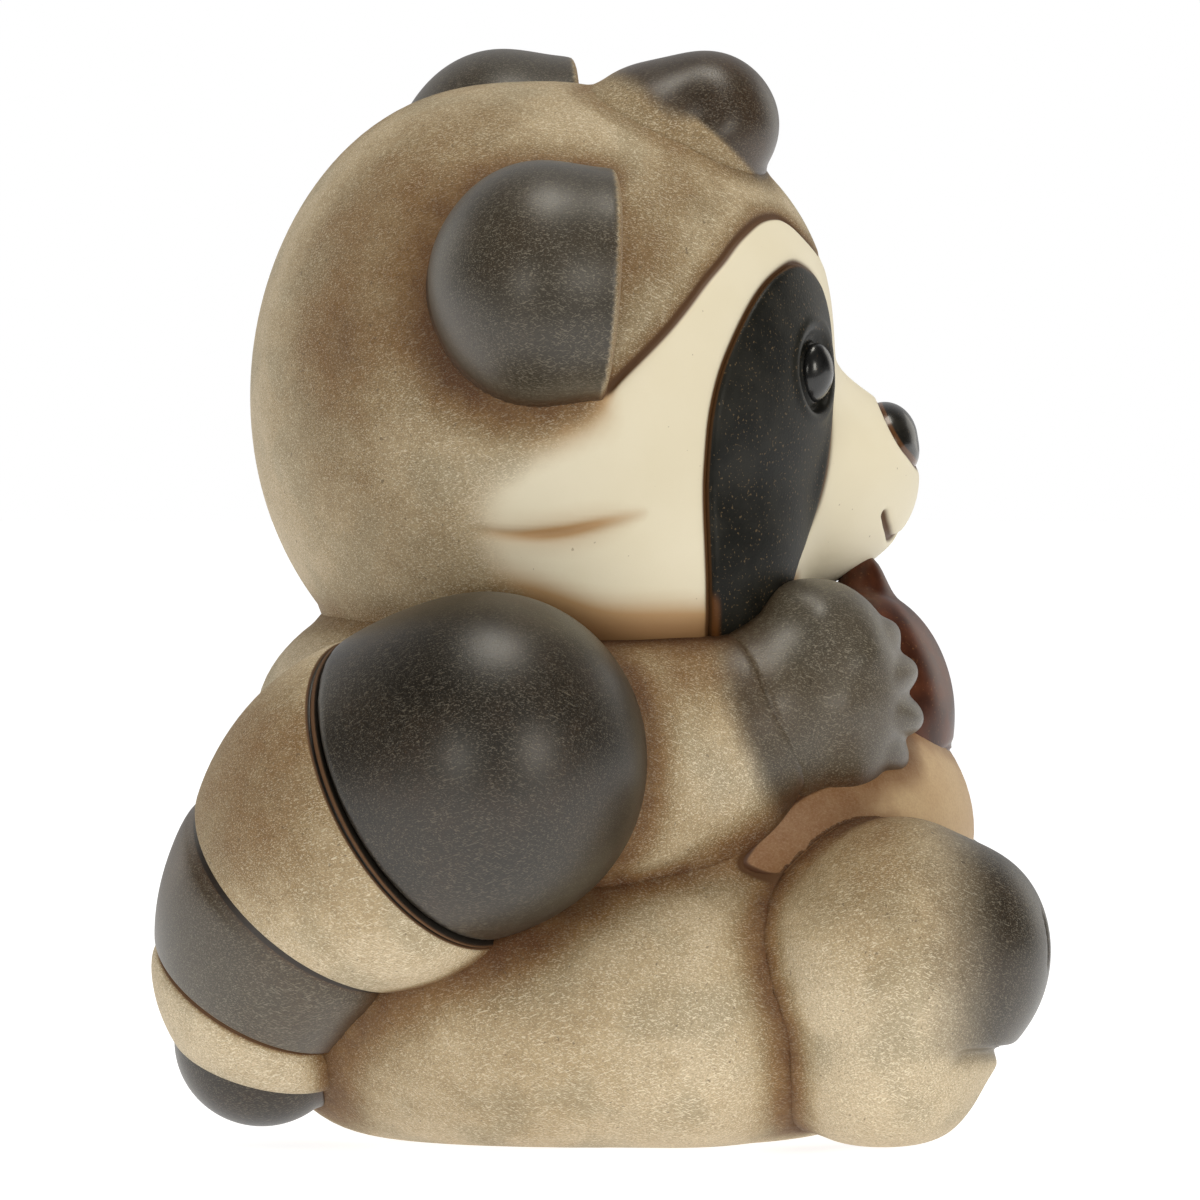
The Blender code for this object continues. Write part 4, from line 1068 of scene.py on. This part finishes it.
def make_head():
    ways = head_ways
    seams = [(ear.depth, SEAM["ear"]) for ear in ears]
    seams += [(lock.depth, SEAM["lock"]), (body.depth, SEAM["neck"])]
    reach = luted_reach(head, ways, seams)
    skin = head.bare(ways)
    points = head.at(ways, reach)
    far = head_lines(skin)
    cream, groove, outline, slot, cheek = head_glaze_values(ways, far)
    mask_in, _ = into_outline(head, ways, MASK)
    rim = bell(np.maximum(nose.depth(points), 0), LINE_WIDTH["nose"])
    drop = groove * LINE_DEPTH["face"] - cream * CREAM_PROUD + bed(outline, mask_in)
    drop = drop + slot * LINE_DEPTH["mouth"] + rim * LINE_DEPTH["nose"]
    drop = drop + cheek * LINE_DEPTH["cheek"] * bell(far["cheek"], LINE_WIDTH["cheek"])
    points = head.at(ways, reach - drop)
    round_ears = airbrush(points, [(ear.depth, 5.0, 0.92) for ear in ears]) * (1 - 0.85 * cream)
    sprays = [(lock.depth, 2.8, 0.5), (body.depth, 4.0, 0.5)]
    sprays += both_sides("arm", 4.0, 0.8) + both_sides("paw", 1.4, 0.5) + [(tail_tip.depth, 3.0, 0.9)]
    wash = puffs(folded(skin + head.heart), HEAD_PUFFS, 0.1) * (1 - cream)
    stain = layered(round_ears, airbrush(points, sprays), wash, cheek * 0.62)
    stain = np.maximum(stain, 0.75 * bell(far["face"], 2.4) * (1 - cream))
    line = np.maximum.reduce([groove, outline, slot, rim])
    dark = soft_step(-lock.depth(points), -1.2, 0.3) * lock_spray(head.own(points))
    add_piece("head", points, head_faces, FUR, "fur", cream=cream, stain=stain, line=line, dark=dark)


make_head()

# %% [markdown]
# ## Eye patches
# Each patch is a leaf of clay laid on the face, 0.65 mm proud with a rolled edge, and the eye's
# socket is pressed into it. The patch is cut out of the head's own skin along the outline, so it
# follows every swelling of the face, then given a thickness.

# %% Eye patch pieces
MASK_RAISE, MASK_ROLL, MASK_UNDER = 0.65, 1.5, 1.3


def patch_fineness(skin):
    far, _ = from_line(folded(skin), drawn_on(head, MASK))
    eye = np.linalg.norm(folded(skin) + head.heart - EYE_MIDDLE, axis=1)
    return np.clip(0.2 + np.minimum(np.maximum(far - 1.2, 0), np.maximum(eye - 5.8, 0)) * 0.3, 0.2, 0.9)


def socket_depth(points):
    """The oval dish that the eye sits in, and the lid that stands a little proud round it."""
    own = (points - EYE_MIDDLE) @ turn_matrix("Z", -EYE_TURN)
    far = np.hypot(own[:, 0] / 4.5, own[:, 2] / 4.6)
    bead = np.hypot(own[:, 0] / 2.7, own[:, 2] / 3.4)
    dish = 0.55 * (1 - soft_step(far, 0.86, 1.0)) + 0.45 * bell(bead - 1.1, 0.13)
    return dish - 0.22 * bell(far - 1.12, 0.12)


def make_mask(side, word):
    ways, faces = SPHERE
    turned = angles(ways[faces].mean(1))[:, 0]
    ways, faces = refine(head, ways, faces[(turned > 8) & (turned < 84)], patch_fineness, rounds=3)
    level, _ = into_outline(head, ways, MASK)
    ways, level, faces = cut_out(ways, faces, level)
    reach = head.reach(ways)
    roll = 1 - np.clip(level / MASK_ROLL, 0, 1)
    raised = MASK_RAISE * np.sqrt(1 - roll**2) - 0.25 * roll**6
    raised -= socket_depth(head.heart + ways * reach[:, None])
    top = head.heart + ways * (reach + raised)[:, None]
    bottom = head.heart + ways * (reach - MASK_UNDER)[:, None]
    points, faces = closed_patch(top, bottom, faces)
    around, up = np.tile(angles(ways), (2, 1)).T
    level = np.tile(level, 2)
    rust = soft_step(around, 60, 68) * soft_step(-up, 9, 14) * (1 - soft_step(level, 0.3, 1.7))
    edge = 1 - soft_step(level / (1.5 - 1.15 * soft_step(around, 28, 45)), 0.2, 1.0)
    if side < 0:
        points, faces = points * (-1, 1, 1), faces[:, ::-1]
    add_piece(f"{word}_eye_mask", head.placed(points), faces, MASK_GLAZE, "mask", stain=rust, line=edge)


for side, word in SIDES:
    make_mask(side, word)

# %% [markdown]
# ## Eyes, nose, ears and forelock
# Eyes and nose are drops of clay under a clear glaze, not perfect balls: the eye is a tall bead whose
# face is a little flattened, and the nose is wider at the top than at the bottom.

# %% Small pieces of the head
def make_eye(side, word):
    middle = HEAD_POSE[0] @ (EYE_MIDDLE * (side, 1, 1)) + HEAD_POSE[1]
    turned = HEAD_POSE[0] @ turn_matrix("Z", -side * EYE_TURN)
    centre = np.zeros(3)
    lumps = (swelling(centre, 5.0, 3.1, 6.4), swelling(centre, 4.0, 3.5, 5.0))
    bead = Form(centre, lumps, 1.0, (turned, middle))
    make_plain(f"{word}_eye", bead, (), (), False, EYE_GLAZE, "eye")


def make_nose():
    ways, faces = SPHERE
    points = nose.at(ways, nose.reach(ways))
    line = 1 - soft_step(head.depth(points), 0.0, 0.4)
    add_piece("nose", points, faces, NOSE_GLAZE, "nose", line=line)


def make_ear(ear, word):
    ways, faces = even_skin(ear, 0.55, rounds=2)
    reach = luted_reach(ear, ways, ((head.depth, SEAM["ear"]),))
    own = ear.heart + ways * reach[:, None]
    points = ear.placed(own)
    ahead = (own - ear.middle) @ ear.front
    across = np.linalg.norm(own - ear.middle, axis=1)
    face = soft_step(ahead, -0.85, -0.45) + (ahead > -3.4) * soft_step(-across, -12.2, -11.6)
    face = np.clip(face, 0, 1)
    stain = layered(airbrush(points, ((head.depth, 2.0, 0.8),)), face * 0.6)
    add_piece(f"{word}_ear", points, faces, FUR, "dark_fur", dark=0.93 * (1 - face), stain=stain)


LOCK_DIMPLE, LOCK_DIMPLE_RADIUS, LOCK_DIMPLE_DEPTH = (-15.4, 33.0), 2.6, 0.9


def make_lock():
    """The curl over the brow: a dimple on either flank, and fur colour sprayed up its lower edge."""
    ways, faces = SPHERE
    reach = luted_reach(lock, ways, ((head.depth, SEAM["lock"]),))
    own = lock.heart + ways * reach[:, None]
    far = np.hypot(own[:, 1] - LOCK_DIMPLE[0], seen_height(own) - LOCK_DIMPLE[1])
    drop = LOCK_DIMPLE_DEPTH * bell(far, LOCK_DIMPLE_RADIUS) * soft_step(np.abs(own[:, 0]), 1.5, 4.5)
    points = lock.placed(own - ways * drop[:, None])
    stain = np.full(len(own), 0.45)
    add_piece("forelock", points, faces, FUR, "dark_fur", dark=lock_spray(own), stain=stain)


for side, word in SIDES:
    make_eye(side, word)
    make_ear(ears[0] if side > 0 else ears[1], word)
make_nose()
make_lock()

# %% [markdown]
# ## Body and belly
# The body is one soft pear. Round the belly runs an incised brown line that follows a strap out
# between paw and knee. The belly is laid in as its own panel, cut from the body's skin like the eye
# patches. Underneath is the flat foot, with the vent hole that the firing needs.

# %% Body piece
VENT_RADIUS, VENT_DEPTH = 4.0, 7.0
BELLY_PROUD, BELLY_ROLL, BELLY_UNDER = 0.12, 0.6, 1.3


def body_fineness(skin):
    far, _ = from_line(folded(skin), drawn_on(body, BELLY))
    hole = np.abs(np.hypot(skin[:, 0], skin[:, 1]) - VENT_RADIUS) + (skin[:, 2] > -20) * 9
    return np.clip(0.26 + np.minimum(far - 0.9, hole) * 0.45, 0.26, 1.3)


body_ways, body_faces = refine(body, *SPHERE, body_fineness)
belly_level, _ = into_outline(body, body_ways, BELLY)
BODY_PUFFS = (
    ((5.7, 16.6), 9.0, 0.3), ((22.4, 12.1), 8.0, 0.25), ((-2.8, 24.9), 8.0, 0.15),
    ((30, 30), 16.0, 0.35), ((12, 6), 9.0, 0.15),
)


def make_body():
    seams = [(limbs[side][name].depth, SEAM[name]) for side in (1, -1) for name in ("arm", "leg")]
    seams += [(tail_depth, SEAM["tail"]), (tail_root.depth, SEAM["root"]), (head.depth, SEAM["neck"])]
    reach = luted_reach(body, body_ways, seams, floor=GROUND_EDGE)
    groove = bell(belly_level, 0.7)
    points = body.at(body_ways, reach)
    off_axis = np.hypot(points[:, 0], points[:, 1])
    hole = soft_step(-off_axis, -VENT_RADIUS - 0.3, -VENT_RADIUS + 0.3) * (points[:, 2] < 5)
    drop = bed(groove, belly_level) + hole * VENT_DEPTH
    points = body.at(body_ways, reach - drop)
    sprays = both_sides("arm", 3.2, 0.85) + both_sides("leg", 4.4, 0.99)
    sprays += [(tail_depth, 5.0, 0.85), (tail_tip.depth, 4.0, 0.75), (head.depth, 4.0, 0.6)]
    stain = layered(airbrush(points, sprays), puffs(points, BODY_PUFFS, 0.05))
    add_piece("body", points, body_faces, FUR, "fur", stain=stain, line=groove)


def make_belly():
    keep = np.abs(angles(body_ways[body_faces].mean(1))[:, 0]) < 75
    ways, level, faces = cut_out(body_ways, body_faces[keep], belly_level)
    reach = luted_reach(body, ways, [(limbs[side]["leg"].depth, SEAM["knee"]) for side in (1, -1)])
    roll = 1 - np.clip(level / BELLY_ROLL, 0, 1)
    top = body.at(ways, reach + BELLY_PROUD - 0.5 * roll**2)
    points, faces = closed_patch(top, body.at(ways, reach - BELLY_UNDER), faces)
    sprays = both_sides("paw", 2.6, 0.75) + both_sides("leg", 2.0, 0.8)
    sprays += both_sides("arm", 2.4, 0.5) + [(nut.depth, 1.5, 0.5)]
    strap = soft_step(np.abs(np.tile(angles(ways)[:, 0], 2)), 34, 42) * 0.8
    line = np.tile(1 - soft_step(level, 0.2, 0.8), 2)
    stain = np.maximum(airbrush(points, sprays), strap)
    add_piece("belly_panel", points, faces, BELLY_GLAZE, "belly", stain=stain, line=line)


make_body()
make_belly()

# %% [markdown]
# ## Arms, paws, legs and feet
# The limbs are rolled clay pressed on: fur glaze on arm and leg, dark stain sprayed over paw and
# foot. The spray has no hard edge, so the dark value is a smooth function of place that both pieces of
# a limb share, and the change of colour runs straight over the seam.

# %% Limb pieces
HEEL_PINCH = 10.2  # the height of the crease between foot and heel
KNUCKLES = ((-22.3, 57.0, 2.6), (-17.9, 49.2, 3.2), (-24.2, 47.0, 3.2), (-27.5, 53.0, 2.2))
WRIST = ((36.0, 38.2, 43.5, 48.9, 54.2, 62.0), (-17.3, -15.9, -13.7, -11.8, -11.6, -12.7))
ARM_PUFFS = (((-8.3, 52.2), 7.0, 0.7), ((-15.2, 45.0), 3.5, 0.35), ((-7.1, 34.3), 5.0, 0.15))
LEG_PUFFS = (
    ((-28.0, 34.5), 8.0, 0.66), ((-21.7, 28.1), 5.5, 0.3),
    ((-27.0, 22.0), 6.0, 0.15), ((-33.5, 24.0), 6.0, 0.25),
)


def sooty(name, points):
    """How dark a paw or a foot is sprayed, with no hard edge towards arm and leg."""
    ahead = -points[:, 1]
    if name in ("arm", "paw"):
        return soft_step(ahead + np.interp(points[:, 2], *WRIST), -2.2, 2.4) * 0.88
    return soft_step(ahead, 29.5, 41.5) * soft_step(points[:, 2], 8.8, 11.5) * 0.96


def toe_creases(form, points):
    """Short upright creases that part the toes, and the pinch between foot and heel."""
    around, up = angles(unit(points - form.heart)).T
    drop = heel_pinch(form, points)
    for middle in (-17.0, 0.0, 17.0):
        drop = drop + 0.5 * bell(around - middle, 2.2) * soft_step(up, -16, -4) * soft_step(-up, -24, -10)
    return drop


def heel_pinch(form, points):
    return 1.3 * bell(points[:, 2] - HEEL_PINCH, 0.75) * soft_step(-points[:, 1], 34.8, 38.0)


def knuckles(form, points):
    """Low swellings on the back of a paw, as thumb and finger roots push the clay up."""
    rise = 0
    for y, z, radius in KNUCKLES:
        rise = rise + bell(np.hypot(points[:, 1] - y, points[:, 2] - z), radius)
    return -0.6 * rise * soft_step(np.abs(points[:, 0] - form.heart[0]), 2.0, 5.0)


def make_limb(name, side, word, seams, sprays, floor=None, crease=None, fine=1.0, rounds=0):
    form = limbs[side][name]
    ways, faces = even_skin(form, fine, rounds)
    points = form.at(ways, luted_reach(form, ways, seams, floor))
    if crease:
        points = points - ways * crease(form, points)[:, None]
    kind = "dark_fur" if name in ("paw", "foot") else "fur"
    wash = puffs(points, ARM_PUFFS if name in ("arm", "paw") else LEG_PUFFS)
    stain = layered(airbrush(points, sprays), wash)
    add_piece(f"{word}_{name}", points, faces, FUR, kind, dark=sooty(name, points), stain=stain)


def make_limbs(side, word):
    own = {name: form.depth for name, form in limbs[side].items()}
    arm_sprays = [(body.depth, 3.2, 0.92), (head.depth, 3.6, 0.85), (own["leg"], 3.0, 0.85)]
    if side > 0:
        arm_sprays.append((tail_tip.depth, 3.2, 0.85))
    make_limb("arm", side, word, [(body.depth, SEAM["arm"]), (own["paw"], SEAM["wrist"])], arm_sprays)
    paw_sprays = [(body.depth, 2.0, 0.7), (head.depth, 2.0, 0.5)]
    make_limb("paw", side, word, [(own["arm"], SEAM["wrist"])], paw_sprays,
              crease=knuckles, fine=0.4, rounds=2)
    leg_sprays = [(body.depth, 3.4, 0.97), (own["arm"], 3.0, 0.7)]
    make_limb("leg", side, word, [(body.depth, SEAM["leg"]), (own["foot"], SEAM["ankle"])], leg_sprays,
              floor=GROUND_EDGE, crease=heel_pinch, fine=0.5, rounds=1)
    make_limb("foot", side, word, [(own["leg"], SEAM["ankle"])], [], crease=toe_creases, fine=0.4, rounds=2)


for side, word in SIDES:
    make_limbs(side, word)

# %% [markdown]
# ## The nut
# A chestnut has a pointed crown, a smooth shell with faint ribs and a dull base, set off by a double
# line. The ribs are shallow waves round the upright axis.

# %% Chestnut piece
def make_nut():
    ways, faces = even_skin(nut, 0.6, rounds=2)
    around, up = angles(ways).T
    base_line = -24 + 5 * np.cos(np.radians(around * 2))
    double = bell(up - base_line, 1.6) + 0.7 * bell(up - base_line - 5, 1.3)
    ribs = 0.10 * np.sin(np.radians(around * 9)) * np.cos(np.radians(up)) * soft_step(up, -20, 20)
    points = nut.at(ways, nut.reach(ways) - 0.35 * double + ribs)
    base = 1 - soft_step(up - base_line, -2, 1)
    add_piece("chestnut", points, faces, NUT_GLAZE, "chestnut", dark=base, line=double * 0.8)


make_nut()

# %% [markdown]
# ## Camera
# The photograph was taken from the raccoon's right side, almost level, with a long lens: outlines
# measured on it give a turn of -92 degrees and a height of 1 degree. The picture is 1200 pixels wide
# and shows 0.108 mm in each.

# %% Camera
CAMERA_TURN, CAMERA_RISE, CAMERA_FAR = math.radians(-92), math.radians(1), 1400.0
PIXEL, PIXELS, SENSOR = 0.108, 1200, 36.0
target = np.array((0, 0.2, 58.0)) + SHIFT
level_way = np.array((math.sin(CAMERA_TURN), -math.cos(CAMERA_TURN), 0)) * math.cos(CAMERA_RISE)
away = level_way + (0, 0, math.sin(CAMERA_RISE))


def add_object(name, data, place, look_at=None):
    obj = bpy.data.objects.new(name, data)
    bpy.context.scene.collection.objects.link(obj)
    obj.location = place
    if look_at is not None:
        aim = unit(np.array(look_at) - np.array(place))
        turn = math.atan2(aim[1], aim[0]) - math.pi / 2
        obj.rotation_euler = (math.acos(np.clip(-aim[2], -1, 1)), 0, turn)
    return obj


lens = bpy.data.cameras.new("camera")
lens.sensor_width = SENSOR
lens.lens = SENSOR * CAMERA_FAR / (PIXEL * PIXELS)
lens.clip_end = 20
camera = add_object("camera", lens, (target + away * CAMERA_FAR) * MM, target * MM)
bpy.context.scene.camera = camera
print("lens:", round(lens.lens, 1), "mm")

# %% [markdown]
# ## Light, floor and background
# The photograph is a studio cut-out: soft boxes overhead and on both sides of the camera, and white all
# round. The camera sees a white world that adds no light to the clay. Reflections see white paper behind
# the figurine and a dim room before it. The ground ends a little before the figurine, where the camera
# can't tell it from the white world, so that the dark glaze mirrors no pale sheet.

# %% Studio
WORLD_LIGHT, ROOM_LIGHT, PAPER_BEHIND, LAMP_TONE = 0.45, 0.005, 0.5, (1.0, 0.96, 0.86)

# The ground's glow, half its side, how far it reaches before the figurine and how deep it lies.
FLOOR_GLOW, FLOOR_HALF, FLOOR_BEFORE, FLOOR_DROP = 2.15, 3.0, 0.16, 0.0002
PAPER_GREY, GLOW_SHARE, GLOW_SEEN = 0.9, 0.34, 0.06  # the camera sees a little more of the glow
LIT_MIDDLE = (0, 0, 0.06)

# Each soft box has its place and size in metres, and its power in watts.
SOFTBOXES = {
    "overhead": ((-0.10, -0.05, 0.80), (0.30, 0.30), 2.4),
    "right_front": ((-0.76, -0.50, 0.16), (0.20, 0.30), 1.8),
    "left_front": ((-0.84, 0.36, 0.10), (0.22, 0.30), 1.3),
    "back_left": ((0.50, 0.72, 0.30), (0.5, 0.5), 0.7),
    "back_right": ((0.60, -0.66, 0.30), (0.5, 0.5), 0.7),
}


def add_softbox(name, place, size, power):
    lamp = bpy.data.lights.new(name, "AREA")
    lamp.shape = "RECTANGLE"
    lamp.size, lamp.size_y = size
    lamp.energy = power
    lamp.color = LAMP_TONE
    add_object(name, lamp, place, LIT_MIDDLE)


def white_light(wire, strength):
    return wire.node("ShaderNodeBackground", None, {"Color": rgb(1, 1, 1), "Strength": strength})


def make_world():
    """White for the camera. Reflections see white paper behind the figurine and a dim room before it."""
    world = bpy.data.worlds.new("studio")
    bpy.context.scene.world = world
    world.use_nodes = True
    tree = world.node_tree
    tree.nodes.clear()
    wire = Wire(tree)
    glossy, through = (wire.node("ShaderNodeLightPath", out=out) for out in (3, 6))
    mirrored = glossy.maths("MAXIMUM", through)
    way = wire.node("ShaderNodeTexCoord", out=0)
    behind = way.node("ShaderNodeSeparateXYZ", None, {0: way}).step(0.1, 0.9)
    seen = wire.node("ShaderNodeLightPath", out=0).maths("MAXIMUM", mirrored * behind * PAPER_BEHIND)
    dim, room = white_light(wire, WORLD_LIGHT), white_light(wire, ROOM_LIGHT)
    around = wire.node("ShaderNodeMixShader", None, {0: mirrored, 1: dim, 2: room})
    both = wire.node("ShaderNodeMixShader", None, {0: seen, 1: around, 2: white_light(wire, 1.0)})
    wire.node("ShaderNodeOutputWorld", None, {"Surface": both})


def make_floor():
    bm = bmesh.new()
    bmesh.ops.create_grid(bm, x_segments=1, y_segments=1, size=FLOOR_HALF)
    mesh = bpy.data.meshes.new("floor")
    bm.to_mesh(mesh)
    bm.free()
    material, wire, _ = start_wires("floor_paper")
    seen = wire.node("ShaderNodeLightPath", out=0)
    paper = wire.node("ShaderNodeBsdfDiffuse", None, {"Color": rgb(*[PAPER_GREY] * 3)})
    glow = wire.node("ShaderNodeEmission", None, {"Color": rgb(1, 1, 1), "Strength": FLOOR_GLOW})
    both = wire.node("ShaderNodeMixShader", None, {0: seen * GLOW_SEEN + GLOW_SHARE, 1: paper, 2: glow})
    wire.node("ShaderNodeOutputMaterial", None, {"Surface": both})
    mesh.materials.append(material)
    floor = add_object("floor", mesh, (FLOOR_HALF - FLOOR_BEFORE, 0, -FLOOR_DROP))


make_world()
make_floor()
for name, (place, size, power) in SOFTBOXES.items():
    add_softbox(name, place, size, power)
bpy.context.scene.view_settings.view_transform = "Standard"
